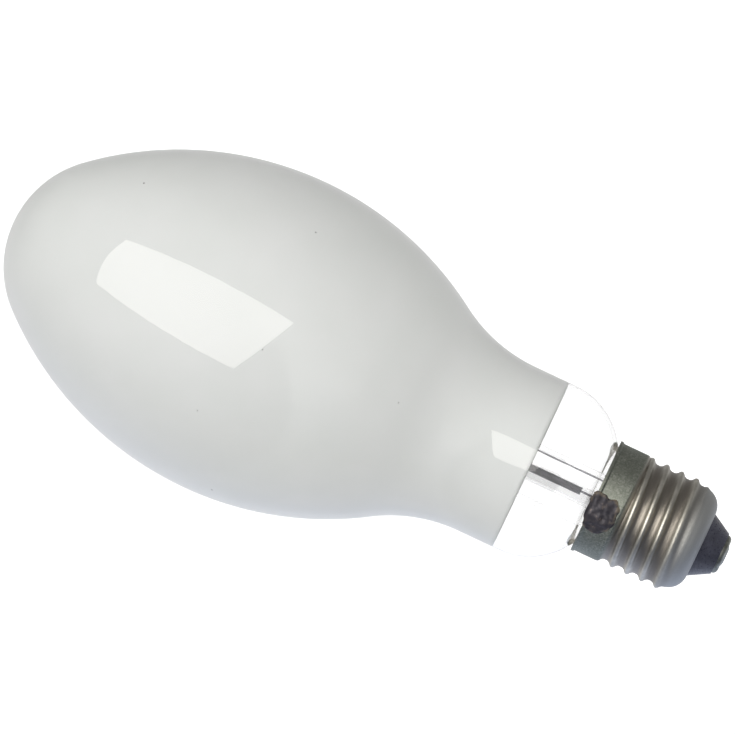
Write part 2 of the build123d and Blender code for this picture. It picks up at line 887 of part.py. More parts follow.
nodes = {
    "outer_bulb": outer_bulb,
    "phosphor_coating": phosphor_coating,
    "cap_shell": cap_shell,
    "cap_insulator": cap_insulator,
    "centre_contact": centre_contact,
    "centre_solder": centre_solder,
    "cap_cement": cap_cement,
    "side_solder": side_solder,
    "stem_flare": stem_flare,
    "exhaust_tube": exhaust_tube,
    "press_seal_wires": press_seal_wires,
    "centre_outer_lead": centre_outer_lead,
    "side_outer_lead": side_outer_lead,
    "side_lead_sleeve": side_lead_sleeve,
    "centre_inner_lead": centre_inner_lead,
    "support_frame": support_frame,
    "arc_tube": arc_tube,
    "upper_electrode_rod": lambda: upper_end(electrode_rod()),
    "lower_electrode_rod": lambda: lower_end(electrode_rod()),
    "upper_electrode_coil": lambda: upper_end(electrode_coil()),
    "lower_electrode_coil": lambda: lower_end(electrode_coil()),
    "starting_electrode": lambda: lower_end(starter_rod()),
    "upper_seal_foil": lambda: upper_end(seal_foil()),
    "lower_seal_foil": lambda: lower_end(seal_foil()),
    "starting_seal_foil": lambda: lower_end(seal_foil(starter_offset)),
    "upper_seal_lead": lambda: upper_end(seal_lead(0, upper_lead_out)),
    "lower_seal_lead": lambda: lower_end(seal_lead(0, lower_lead_out)),
    "starting_seal_lead": lambda: lower_end(seal_lead(starter_offset, starter_lead_out)),
    "mercury_bead": mercury_bead,
    "upper_pinch_clamp": lambda: upper_end(pinch_clamp()),
    "lower_pinch_clamp": lambda: lower_end(pinch_clamp()),
    "upper_ribbon": upper_ribbon,
    "lower_ribbon": lower_ribbon,
    "starting_resistor": starting_resistor,
    "resistor_end_caps": resistor_end_caps,
    "resistor_leads": resistor_leads,
}

os.makedirs("parts", exist_ok=True)
for name, build in nodes.items():
    shape = build()
    export_step(shape, f"parts/{name}.step")
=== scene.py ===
# A high pressure mercury vapor lamp with a 27 mm screw cap, seen as in the photograph.
# Lengths are in millimetres and MM turns them into metres. The origin is the tip of the
# centre contact, +Z runs up the axis to the dome, and the side solder faces -Y.
from math import atan2, cos, hypot, pi, radians, sin, sqrt, tan

import bmesh
import bpy
from mathutils import Matrix, Vector
from mathutils import noise as mathutils_noise


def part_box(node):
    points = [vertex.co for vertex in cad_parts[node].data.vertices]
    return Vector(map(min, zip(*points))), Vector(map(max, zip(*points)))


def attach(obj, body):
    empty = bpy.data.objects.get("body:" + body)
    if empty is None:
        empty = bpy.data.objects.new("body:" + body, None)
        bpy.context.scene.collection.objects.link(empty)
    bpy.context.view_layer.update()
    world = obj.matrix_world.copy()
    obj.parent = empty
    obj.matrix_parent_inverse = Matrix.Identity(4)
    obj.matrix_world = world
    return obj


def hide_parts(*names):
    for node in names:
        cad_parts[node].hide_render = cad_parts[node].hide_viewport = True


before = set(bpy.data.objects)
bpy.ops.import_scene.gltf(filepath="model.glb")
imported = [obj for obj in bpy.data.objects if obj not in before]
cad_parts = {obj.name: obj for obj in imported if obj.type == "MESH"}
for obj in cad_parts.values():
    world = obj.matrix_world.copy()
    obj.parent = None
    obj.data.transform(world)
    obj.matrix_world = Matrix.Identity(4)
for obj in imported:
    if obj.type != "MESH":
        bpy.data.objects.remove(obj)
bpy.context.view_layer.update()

MM = 0.001
BODY = "root"


# Outer bulb
# One piece of blown hard glass, clear and about a millimetre thick, drawn in to a neck
# and sealed to the stem inside the cap. Its outline is a chain of tangent arcs.

bulb_radius = 37.75
nose_radius = 24.5
dome_rise = 35.2
flank_rise = 60.04
neck_fillet = 36.0
neck_radius = 20.3
neck_length = 9.96
shoulder_radius = 16.5
seal_fillet = 2.5
seal_fillet_height = 30.16
seal_radius = 11.0
seal_height = 21.0
bulb_wall = 1.0


def srgb(text):
    """A colour written as sRGB hex, as the linear values that a shader takes."""
    parts = [int(text[i : i + 2], 16) / 255 for i in (1, 3, 5)]
    linear = [c / 12.92 if c <= 0.04045 else ((c + 0.055) / 1.055) ** 2.4 for c in parts]
    return (*linear, 1.0)


def feed(node, values):
    """Give a node's inputs, by name or place, numbers, hex colours or sockets to link."""
    for key, value in values.items():
        socket = node.inputs[key]
        if isinstance(value, bpy.types.NodeSocket):
            node.id_data.links.new(value, socket)
        elif isinstance(value, str) and value.startswith("#"):
            socket.default_value = srgb(value)
        else:
            socket.default_value = value


def add_node(tree, kind, *values, inputs=None, stops=(), **settings):
    """Add one node with its settings. The values go to the inputs in use, in their order,
    inputs gives others by name, and stops are a colour ramp's places and hex colours.
    Returns the node's first output in use, or the node itself where it has none."""
    node = tree.nodes.new(kind)
    for name, setting in settings.items():
        setattr(node, name, setting)
    in_use = [place for place, socket in enumerate(node.inputs) if socket.enabled]
    feed(node, dict(zip(in_use, values)))
    feed(node, inputs or {})
    if stops:
        elements = node.color_ramp.elements
        while len(elements) < len(stops):
            elements.new(1.0)
        for element, (at, colour) in zip(elements, stops):
            element.position = at
            element.color = srgb(colour)
    return next((socket for socket in node.outputs if socket.enabled), node)


def new_material(name, fixed=None):
    """A Principled material with its fixed values, its tree and its object coordinates."""
    material = bpy.data.materials.new(name)
    material.use_nodes = True
    tree = material.node_tree
    tree.nodes.clear()
    surface = add_node(tree, "ShaderNodeBsdfPrincipled", inputs=fixed)
    add_node(tree, "ShaderNodeOutputMaterial", surface)
    place = add_node(tree, "ShaderNodeTexCoord").node.outputs["Object"]
    return material, tree, surface.node, place


def mesh_object(name, points, faces, material):
    """A smooth mesh object made from points in millimetres."""
    mesh = bpy.data.meshes.new(name)
    mesh.from_pydata([(x * MM, y * MM, z * MM) for x, y, z in points], [], faces)
    mesh.polygons.foreach_set("use_smooth", [True] * len(mesh.polygons))
    mesh.materials.append(material)
    mesh.update()
    made = bpy.data.objects.new(name, mesh)
    bpy.context.scene.collection.objects.link(made)
    return made


def lathe(name, profile, material, segments=160):
    """A closed shell turned about Z from radius and height points, from its top outside
    down, round and up again inside."""
    rings = []
    points = []
    for radius, height in profile:
        if radius < 1e-6:
            rings.append([len(points)])
            points.append((0.0, 0.0, height))
            continue
        rings.append(list(range(len(points), len(points) + segments)))
        for step in range(segments):
            turn = 2 * pi * step / segments
            points.append((radius * cos(turn), radius * sin(turn), height))
    pairs = list(zip(rings, rings[1:]))
    if len(rings[0]) > 1:
        pairs.append((rings[-1], rings[0]))
    faces = []
    for first, second in pairs:
        for step in range(segments):
            after = (step + 1) % segments
            if len(first) == 1:
                faces.append((first[0], second[step], second[after]))
            elif len(second) == 1:
                faces.append((first[after], first[step], second[0]))
            else:
                faces.append((first[after], first[step], second[step], second[after]))
    return mesh_object(name, points, faces, material)


def arc_points(centre, radius, start, end, count):
    """Points of an arc between two directions in radians, without the last."""
    turns = [start + (end - start) * step / count for step in range(count)]
    return [(centre[0] + radius * cos(t), centre[1] + radius * sin(t)) for t in turns]


def line_points(start, end, count):
    """Points of a straight run, without the last."""
    along = [step / count for step in range(count)]
    return [(start[0] + (end[0] - start[0]) * t, start[1] + (end[1] - start[1]) * t) for t in along]


def heading(start, end):
    """Direction in radians from one point of an outline to another."""
    return atan2(end[1] - start[1], end[0] - start[0])


def bulb_profile(inset, lowest=0.0):
    """The bulb's half outline, the inset further in, from its sealed end to the dome."""
    fillet_at = (seal_radius + seal_fillet, seal_fillet_height)
    shoulder_r = neck_radius - shoulder_radius
    reach = shoulder_radius + seal_fillet
    shoulder_at = (shoulder_r, fillet_at[1] + sqrt(reach**2 - (fillet_at[0] - shoulder_r) ** 2))
    neck_at = (neck_radius + neck_fillet, shoulder_at[1] + neck_length)
    widest = neck_at[1] + flank_rise
    offset = neck_at[0] - bulb_radius
    flank = (flank_rise**2 + offset**2 - neck_fillet**2) / (2 * (neck_fillet - offset))
    flank_at = (bulb_radius - flank, widest)
    dome = (dome_rise**2 + bulb_radius**2 - nose_radius**2) / (2 * (bulb_radius - nose_radius))
    dome_at = (bulb_radius - dome, widest)
    nose_at = (0.0, widest + dome_rise)
    to_shoulder = heading(fillet_at, shoulder_at)
    to_flank = heading(neck_at, flank_at)
    to_nose = heading(dome_at, nose_at)
    foot = (seal_radius - inset, seal_height)
    neck_foot = (neck_radius - inset, shoulder_at[1])
    points = line_points(foot, (foot[0], fillet_at[1]), 10)
    points += arc_points(fillet_at, seal_fillet + inset, pi, to_shoulder, 10)
    points += arc_points(shoulder_at, shoulder_radius - inset, to_shoulder - pi, 0, 28)
    points += line_points(neck_foot, (neck_foot[0], neck_at[1]), 8)
    points += arc_points(neck_at, neck_fillet + inset, pi, to_flank, 22)
    points += arc_points(flank_at, flank - inset, to_flank - pi, 0, 36)
    points += arc_points(dome_at, dome - inset, 0, to_nose, 40)
    points += arc_points(nose_at, nose_radius - inset, to_nose, pi / 2, 26)
    points.append((0.0, nose_at[1] + nose_radius - inset))
    if points[0][1] >= lowest:
        return points
    kept = [p for p in points if p[1] > lowest + 0.05]
    return [(kept[0][0], lowest)] + kept


def bulb_glass():
    """Clear blown glass with a haze of fine dust and wipe marks."""
    material, tree, shader, place = new_material(
        "blown_hard_glass", {"Base Color": "#fefefe", "Transmission Weight": 1.0, "IOR": 1.48}
    )
    dust = add_node(tree, "ShaderNodeTexNoise", place, 1 / (1.4 * MM), 4.0, 0.65)
    along = add_node(tree, "ShaderNodeVectorMath", place, (1.0, 1.0, 0.12), operation="MULTIPLY")
    wipes = add_node(tree, "ShaderNodeTexNoise", along, 1 / (1.1 * MM), 2.0, 0.55)
    dusty = add_node(tree, "ShaderNodeMapRange", dust, 0.52, 0.8, 0.0, 0.03)
    haze = add_node(tree, "ShaderNodeMath", dusty, wipes, operation="MULTIPLY")
    film = add_node(tree, "ShaderNodeBump", inputs={"Height": dust, "Distance": 0.0004 * MM})
    feed(shader, {"Roughness": haze, "Normal": film})
    return material


def see_through(piece):
    """Light passes the piece without a shadow, as it does through clear glass."""
    piece.visible_shadow = False
    piece.visible_diffuse = False


bulb = lathe("bulb_glass", bulb_profile(0.0)[::-1] + bulb_profile(bulb_wall), bulb_glass())
see_through(bulb)
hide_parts("outer_bulb")
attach(bulb, BODY)


# White coat
# Fluorescent powder laid on the inside of the bulb as a slurry and baked on. It is matt,
# was wiped off the neck to leave a sharp edge, and holds a few dark specks.

coat_bond = 0.03
coat_thickness = 0.15
coat_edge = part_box("phosphor_coating")[0].z / MM


def powder_coat():
    """Baked white powder: matt, with soft clouds where it lies thinner. Its grain is too
    fine to show, so it is drawn a third of a millimetre across."""
    material, tree, shader, place = new_material(
        "baked_white_powder", {"Roughness": 0.9, "Specular IOR Level": 0.15}
    )
    clouds = add_node(tree, "ShaderNodeTexNoise", place, 1 / (22.0 * MM), 3.0, 0.55)
    grain = add_node(tree, "ShaderNodeTexNoise", place, 1 / (0.35 * MM), 2.0, 0.55)
    tones = [(0.3, "#e9ebe7"), (0.7, "#eeefec")]
    white = add_node(tree, "ShaderNodeValToRGB", clouds, stops=tones)
    dull = add_node(tree, "ShaderNodeMapRange", grain, 0.6, 0.8, 0.0, 0.25)
    colour = add_node(tree, "ShaderNodeMix", dull, white, "#dddfda", data_type="RGBA")
    relief = add_node(tree, "ShaderNodeBump", inputs={"Height": grain, "Distance": 0.006 * MM})
    feed(shader, {"Base Color": colour, "Normal": relief})
    return material


coat_outside = bulb_profile(bulb_wall - coat_bond, coat_edge)
coat_inside = bulb_profile(bulb_wall + coat_thickness, coat_edge)
coat = lathe("powder_coat", coat_outside[::-1] + coat_inside, powder_coat())
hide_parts("phosphor_coating")
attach(coat, BODY)


# Specks in the coat
# Grains that were shaken out of the powder or fell on it before it was baked. Each is a
# flat dark crumb whose size comes from the tree's own seed. Each place is a height and a
# turn in degrees from +X, and each crumb's seat is a tiny triangle square to the coat.

speck_seed = 7
speck_seat = 0.01
speck_places = [
    (151.8, -45.8),
    (112.7, -45.1),
    (111.8, -93.3),
    (119.3, -123.3),
    (109.9, -161.3),
    (80.3, -90.0),
    (150.0, 20.0),
    (104.0, 64.0),
    (131.0, 101.0),
    (92.0, 140.0),
    (139.0, 171.0),
    (70.0, 31.0),
]


def make_group(name, inputs):
    """A geometry group whose input takes a mesh and numbers with their own values."""
    group = bpy.data.node_groups.new(name, "GeometryNodeTree")
    group.interface.new_socket("Geometry", in_out="INPUT", socket_type="NodeSocketGeometry")
    for label, value in inputs.items():
        kind = "NodeSocketInt" if isinstance(value, int) else "NodeSocketFloat"
        socket = group.interface.new_socket(label, in_out="INPUT", socket_type=kind)
        socket.default_value = value
    group.interface.new_socket("Geometry", in_out="OUTPUT", socket_type="NodeSocketGeometry")
    return group, group.nodes.new("NodeGroupInput").outputs


def finish_group(group, geometry, material):
    """End a geometry group in plain geometry that has its material."""
    plain = add_node(group, "GeometryNodeRealizeInstances", geometry)
    dressed = add_node(group, "GeometryNodeSetMaterial", plain, inputs={"Material": material})
    add_node(group, "NodeGroupOutput", dressed)


def grown(name, base, group, values):
    """The plain mesh that a geometry group makes from a base object, with its values."""
    modifier = base.modifiers.new(group.name, "NODES")
    modifier.node_group = group
    for socket in group.interface.items_tree:
        if socket.in_out == "INPUT" and socket.name in values:
            modifier[socket.identifier] = values[socket.name]
    seen = base.evaluated_get(bpy.context.evaluated_depsgraph_get())
    mesh = bpy.data.meshes.new_from_object(seen)
    mesh.polygons.foreach_set("use_smooth", [True] * len(mesh.polygons))
    made = bpy.data.objects.new(name, mesh)
    bpy.context.scene.collection.objects.link(made)
    bpy.data.objects.remove(base)
    return made


def speck_group():
    """Flat crumbs in the middle of the base's faces, lying flat on them."""
    group, given = make_group(
        "coat_specks",
        {"Smallest": 0.13 * MM, "Largest": 0.22 * MM, "Flatness": 0.25, "Seed": speck_seed},
    )
    ball = {"Radius": 1.0, "Subdivisions": 2}
    crumb = add_node(group, "GeometryNodeMeshIcoSphere", inputs=ball)
    wide = add_node(
        group,
        "FunctionNodeRandomValue",
        given["Smallest"],
        given["Largest"],
        inputs={"Seed": given["Seed"]},
        data_type="FLOAT",
    )
    flat = add_node(group, "ShaderNodeMath", wide, given["Flatness"], operation="MULTIPLY")
    shape = add_node(group, "ShaderNodeCombineXYZ", wide, wide, flat)
    normal = add_node(group, "GeometryNodeInputNormal")
    seats = add_node(
        group,
        "GeometryNodeStoreNamedAttribute",
        inputs={"Geometry": given["Geometry"], "Name": "outward", "Value": normal},
        data_type="FLOAT_VECTOR",
        domain="FACE",
    )
    middles = add_node(group, "GeometryNodeMeshToPoints", seats, mode="FACES")
    outward = add_node(
        group, "GeometryNodeInputNamedAttribute", "outward", data_type="FLOAT_VECTOR"
    )
    lie = add_node(
        group, "FunctionNodeAlignEulerToVector", inputs={"Vector": outward}, axis="Z"
    )
    crumbs = add_node(
        group,
        "GeometryNodeInstanceOnPoints",
        inputs={"Points": middles, "Instance": crumb, "Rotation": lie, "Scale": shape},
    )
    return group, crumbs


def burnt_crumb():
    """Burnt powder: dark grey-brown and matt, each crumb a little different."""
    material, tree, shader, place = new_material("burnt_crumb", {"Roughness": 0.8})
    burn = add_node(tree, "ShaderNodeTexNoise", place, 1 / (9.0 * MM), 1.0, 0.55)
    tones = [(0.35, "#2f2d2b"), (0.65, "#6b655d")]
    colour = add_node(tree, "ShaderNodeValToRGB", burn, stops=tones)
    pits = add_node(tree, "ShaderNodeTexNoise", place, 1 / (0.1 * MM), 2.0, 0.55)
    relief = add_node(tree, "ShaderNodeBump", inputs={"Height": pits, "Distance": 0.02 * MM})
    feed(shader, {"Base Color": colour, "Normal": relief})
    return material


speck_material = burnt_crumb()
coat_heights = [height for _, height in coat_outside]
seat_points = []
for height, turn in speck_places:
    above = next(k for k, level in enumerate(coat_heights) if level > height)
    (low_r, low_z), (high_r, high_z) = coat_outside[above - 1], coat_outside[above]
    radius = low_r + (high_r - low_r) * (height - low_z) / (high_z - low_z)
    out = Vector((cos(radians(turn)), sin(radians(turn)), (low_r - high_r) / (high_z - low_z)))
    middle = Vector((radius * out.x, radius * out.y, height))
    side = out.normalized().orthogonal() * speck_seat
    over = out.normalized().cross(side)
    corners = (side, -side / 2 + over, -side / 2 - over)
    seat_points += [tuple(middle + corner) for corner in corners]
faces = [(k, k + 1, k + 2) for k in range(0, len(seat_points), 3)]
seats = mesh_object("speck_seats", seat_points, faces, speck_material)
group, crumbs = speck_group()
finish_group(group, crumbs, speck_material)
specks = grown("coat_specks", seats, group, {"Seed": speck_seed})
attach(specks, BODY)


# Cap shell
# Nickel plated brass sheet 0.3 mm thick, drawn to a cup and rolled to a round right-hand
# thread that follows the sheet inside and out. The skirt is dull and speckled green-grey.
# The crests are painted lighter, for wear and a painted highlight, and the grooves are
# painted darker brown, for dirt and painted shade.

sheet = 0.3
thread_pitch = 25.4 / 7
thread_crest = 13.1
thread_depth = 1.05
crest_arc = 0.65
root_land = 0.05
core_radius = thread_crest - thread_depth + root_land
first_crest = 13.1
fade_from = 9.5
fade_over = 1.8
cap_floor = 6.1
cap_hole = 7.6
cap_shoulder = 4.4
skirt_low = 24.7
skirt_rise = 1.2
skirt_radius = 13.15
step_fillet = 0.6
lip_flare = 0.3
lip_height = 0.9
rim_height = 32.05
ring_step = 0.21
cap_segments = 256
sharp_angle = 42.0

# On the lower side the skirt's step and the end of the thread dip by run_out_drop, from
# none at dip_low, in full from dip_low + dip_rise, to none again at dip_high.
run_out_drop = 0.95
dip_low = 22.6
dip_rise = 2.0
dip_high = 29.5
dip_fall = 3.3

# Heights between which the plate's looks change, and the radii between which the colour
# goes from the groove, darker for dirt and painted shade, to the crest, lighter for wear
# and a painted highlight.
shoulder_worn = (9.0, 13.0)
scuffed_shell = (16.0, 10.0)
dull_skirt = (24.6, 25.4)
shaded_groove_to_lit_crest = (12.15, 13.0)


def rounded_path(corners, radii, step):
    """Points about a step apart along straight runs that are joined by arcs."""
    points = []
    last = corners[0]
    for before, corner, after, radius in zip(corners, corners[1:], corners[2:], radii):
        into = heading(before, corner)
        turn = (heading(corner, after) - into + pi) % (2 * pi) - pi
        reach = radius * tan(abs(turn) / 2)
        start = (corner[0] - reach * cos(into), corner[1] - reach * sin(into))
        side = 1 if turn > 0 else -1
        centre = (start[0] - side * radius * sin(into), start[1] + side * radius * cos(into))
        run = hypot(start[0] - last[0], start[1] - last[1])
        points += line_points(last, start, max(1, round(run / step)))
        first = into - side * pi / 2
        points += arc_points(centre, radius, first, first + turn, 6)
        end = first + turn
        last = (centre[0] + radius * cos(end), centre[1] + radius * sin(end))
    run = hypot(corners[-1][0] - last[0], corners[-1][1] - last[1])
    return points + line_points(last, corners[-1], max(1, round(run / step))) + [corners[-1]]


def cap_path(inset):
    """The cap's half outline without its thread, from the hole in its floor to its rim."""
    slope = atan2(skirt_radius - core_radius, skirt_rise)
    lip_low = rim_height - lip_height
    shift = inset * tan(slope / 2)
    lip_shift = inset * tan(pi / 8)
    centre = (core_radius - cap_shoulder, cap_floor + cap_shoulder)
    corners = [
        (core_radius - inset, centre[1]),
        (core_radius - inset, skirt_low + shift),
        (skirt_radius - inset, skirt_low + skirt_rise + shift),
        (skirt_radius - inset, lip_low + lip_shift),
        (skirt_radius + lip_flare - inset, lip_low + lip_flare + lip_shift),
        (skirt_radius + lip_flare - inset, rim_height),
    ]
    radii = [step_fillet + inset, step_fillet - inset, lip_flare, lip_flare]
    points = [(cap_hole, cap_floor + inset)]
    points += arc_points(centre, cap_shoulder - inset, -pi / 2, 0, 16)
    return points + rounded_path(corners, radii, ring_step)


def thread_group():
    """Roll a round thread into a turned sheet. Each point moves out to the thread's
    outline at its own turn and height, less its depth in the sheet."""
    sizes = {
        "Pitch": thread_pitch * MM,
        "Crest radius": thread_crest * MM,
        "Depth": thread_depth * MM,
        "Crest arc": crest_arc * MM,
        "First crest": first_crest * MM,
        "Fade from": fade_from * MM,
        "Fade over": fade_over * MM,
    }
    group, given = make_group("rolled_thread", sizes)
    place = add_node(group, "GeometryNodeInputPosition")
    x, y, z = add_node(group, "ShaderNodeSeparateXYZ", place).node.outputs
    inset = add_node(group, "GeometryNodeInputNamedAttribute", "inset", data_type="FLOAT")

    # The outline is a chain of crest arcs and root arcs that meet in line. Each step has
    # its name, its sum, and numbers or the names of sizes and earlier steps.
    steps = [
        ("half", "DIVIDE", "Pitch", 2.0),
        ("half squared", "MULTIPLY", "half", "half"),
        ("depth squared", "MULTIPLY", "Depth", "Depth"),
        ("chord squared", "ADD", "depth squared", "half squared"),
        ("double depth", "MULTIPLY", "Depth", 2.0),
        ("both arcs", "DIVIDE", "chord squared", "double depth"),
        ("root arc", "SUBTRACT", "both arcs", "Crest arc"),
        ("crest middle", "SUBTRACT", "Crest radius", "Crest arc"),
        ("root radius", "SUBTRACT", "Crest radius", "Depth"),
        ("root middle", "ADD", "root radius", "root arc"),
        ("angle", "ARCTAN2", "y", "x"),
        ("turn", "DIVIDE", "angle", 2 * pi),
        ("climb", "SUBTRACT", "z", "First crest"),
        ("climbed turns", "DIVIDE", "climb", "Pitch"),
        ("phase", "SUBTRACT", "climbed turns", "turn"),
        ("nearest crest", "ROUND", "phase"),
        ("past crest", "SUBTRACT", "phase", "nearest crest"),
        ("from crest", "ABSOLUTE", "past crest"),
        ("off crest", "MULTIPLY", "from crest", "Pitch"),
        ("off root", "SUBTRACT", "half", "off crest"),
        ("crest here", "SUBTRACT", "Crest arc", "inset"),
        ("root here", "ADD", "root arc", "inset"),
        ("crest share", "MULTIPLY", "crest here", "half"),
        ("meet", "DIVIDE", "crest share", "both arcs"),
        ("crest here squared", "MULTIPLY", "crest here", "crest here"),
        ("off crest squared", "MULTIPLY", "off crest", "off crest"),
        ("top squared", "SUBTRACT", "crest here squared", "off crest squared"),
        ("top kept", "MAXIMUM", "top squared", 0.0),
        ("top rise", "SQRT", "top kept"),
        ("top", "ADD", "crest middle", "top rise"),
        ("root here squared", "MULTIPLY", "root here", "root here"),
        ("off root squared", "MULTIPLY", "off root", "off root"),
        ("low squared", "SUBTRACT", "root here squared", "off root squared"),
        ("low kept", "MAXIMUM", "low squared", 0.0),
        ("low rise", "SQRT", "low kept"),
        ("low", "SUBTRACT", "root middle", "low rise"),
        ("on crest", "LESS_THAN", "off crest", "meet"),
        ("above low", "SUBTRACT", "top", "low"),
        ("crest rise", "MULTIPLY", "above low", "on crest"),
        ("outline", "ADD", "low", "crest rise"),
        ("slope", "DIVIDE", "Depth", "Fade over"),
        ("past fade", "SUBTRACT", "z", "Fade from"),
        ("fade rise", "MULTIPLY", "past fade", "slope"),
        ("fade radius", "ADD", "root radius", "fade rise"),
        ("cone", "SUBTRACT", "fade radius", "inset"),
        ("ridge", "MINIMUM", "outline", "cone"),
        ("x squared", "MULTIPLY", "x", "x"),
        ("y squared", "MULTIPLY", "y", "y"),
        ("own squared", "ADD", "x squared", "y squared"),
        ("own radius", "SQRT", "own squared"),
        ("half fade", "DIVIDE", "Fade over", 2.0),
        ("thread starts", "SUBTRACT", "Fade from", "half fade"),
        ("threaded", "GREATER_THAN", "z", "thread starts"),
        ("over own", "SUBTRACT", "ridge", "own radius"),
        ("rise", "MAXIMUM", "over own", 0.0),
        ("rise here", "MULTIPLY", "rise", "threaded"),
        ("new radius", "ADD", "own radius", "rise here"),
        ("grow", "DIVIDE", "new radius", "own radius"),
    ]
    known = {"x": x, "y": y, "z": z, "inset": inset, **{label: given[label] for label in sizes}}
    for name, operation, *parts in steps:
        values = [known[part] if isinstance(part, str) else part for part in parts]
        known[name] = add_node(group, "ShaderNodeMath", *values, operation=operation)
    wide = add_node(group, "ShaderNodeCombineXYZ", known["grow"], known["grow"], 1.0)
    moved = add_node(group, "ShaderNodeVectorMath", place, wide, operation="MULTIPLY")
    rolled = add_node(
        group,
        "GeometryNodeSetPosition",
        inputs={"Geometry": given["Geometry"], "Position": moved},
    )
    return group, rolled


def plated_sheet():
    """Old plated brass: speckled green-grey skirt, and a brown-grey thread whose crests are
    lighter for wear and a painted highlight and whose grooves are darker for dirt and painted
    shade. Rings are left by the rolling, and the shoulder is pale."""
    material, tree, shader, place = new_material("dull_nickel_plate", {"Metallic": 1.0})
    x, y, z = add_node(tree, "ShaderNodeSeparateXYZ", place).node.outputs
    squares = [add_node(tree, "ShaderNodeMath", v, v, operation="MULTIPLY") for v in (x, y)]
    square = add_node(tree, "ShaderNodeMath", *squares, operation="ADD")
    radius = add_node(tree, "ShaderNodeMath", square, operation="SQRT")
    stains = add_node(tree, "ShaderNodeTexNoise", place, 1 / (4.0 * MM), 5.0, 0.65)
    speckle = add_node(tree, "ShaderNodeTexNoise", place, 1 / (0.42 * MM), 3.0, 0.7)
    flat = add_node(tree, "ShaderNodeVectorMath", place, (0.04, 0.04, 1.0), operation="MULTIPLY")
    rings = add_node(tree, "ShaderNodeTexNoise", flat, 1 / (0.3 * MM), 3.0, 0.55)
    bands = {"shoulder": shoulder_worn, "scuffed": scuffed_shell, "skirt": dull_skirt}
    on = {
        name: add_node(tree, "ShaderNodeMapRange", z, low * MM, high * MM, 0.0, 1.0)
        for name, (low, high) in bands.items()
    }
    groove, crest = shaded_groove_to_lit_crest
    height = add_node(tree, "ShaderNodeMapRange", radius, groove * MM, crest * MM, 0.0, 1.0)

    tones = [(0.3, "#6e7369"), (0.5, "#8d9087"), (0.72, "#aeb1a8")]
    skirt = add_node(tree, "ShaderNodeValToRGB", speckle, stops=tones)
    stained = add_node(tree, "ShaderNodeMapRange", stains, 0.45, 0.7, 0.0, 0.6)
    skirt = add_node(tree, "ShaderNodeMix", stained, skirt, "#787b72", data_type="RGBA")
    # The light crest tones are wear and a painted highlight, and the darker groove colour is dirt
    # and painted shade.
    tones = [(0.3, "#a6a39a"), (0.6, "#c3bfb5"), (0.8, "#d8d4cb")]
    worn = add_node(tree, "ShaderNodeValToRGB", stains, stops=tones)
    thread = add_node(tree, "ShaderNodeMix", height, "#89837b", worn, data_type="RGBA")
    thread = add_node(tree, "ShaderNodeMix", on["shoulder"], "#b5b6b5", thread, data_type="RGBA")
    colour = add_node(tree, "ShaderNodeMix", on["skirt"], thread, skirt, data_type="RGBA")

    gloss = add_node(tree, "ShaderNodeMapRange", speckle, 0.3, 0.7, 0.34, 0.46)
    scuffs = add_node(tree, "ShaderNodeMath", on["scuffed"], 0.25, operation="MULTIPLY")
    gloss = add_node(tree, "ShaderNodeMath", gloss, scuffs, operation="ADD")
    dull = add_node(tree, "ShaderNodeMapRange", speckle, 0.3, 0.7, 0.48, 0.66)
    rough = add_node(tree, "ShaderNodeMix", on["skirt"], gloss, dull)
    relief = add_node(tree, "ShaderNodeBump", inputs={"Height": rings, "Distance": 0.02 * MM})
    relief = add_node(
        tree,
        "ShaderNodeBump",
        inputs={"Height": speckle, "Distance": 0.035 * MM, "Normal": relief},
    )
    feed(shader, {"Base Color": colour, "Roughness": rough, "Normal": relief})
    return material


outside = cap_path(0.0)[::-1]
inside = cap_path(sheet)
cup = lathe("cap_cup", outside + inside, None, cap_segments)
inset = cup.data.attributes.new("inset", "FLOAT", "POINT")
depths = [0.0] * (len(outside) * cap_segments) + [sheet * MM] * (len(inside) * cap_segments)
inset.data.foreach_set("value", depths)
for vertex in cup.data.vertices:
    level = vertex.co.z / MM
    rise = min(1.0, max(0.0, (level - dip_low) / dip_rise))
    dip = rise * min(1.0, max(0.0, (dip_high - level) / dip_fall))
    dip = dip * dip * (3 - 2 * dip)
    turned = vertex.co.x / hypot(vertex.co.x, vertex.co.y)
    vertex.co.z -= dip * run_out_drop * (1 + turned) / 2 * MM
group, rolled = thread_group()
finish_group(group, rolled, plated_sheet())
cap = grown("cap_shell_rolled", cup, group, {})
cap.data.set_sharp_from_angle(angle=radians(sharp_angle))
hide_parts("cap_shell")
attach(cap, BODY)


# Insulator
# Black glass pressed into the open end of the shell while soft, round the contact's eyelet.


def dress(node, material):
    """Give a frame node its finish."""
    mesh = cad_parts[node].data
    mesh.materials.clear()
    mesh.materials.append(material)


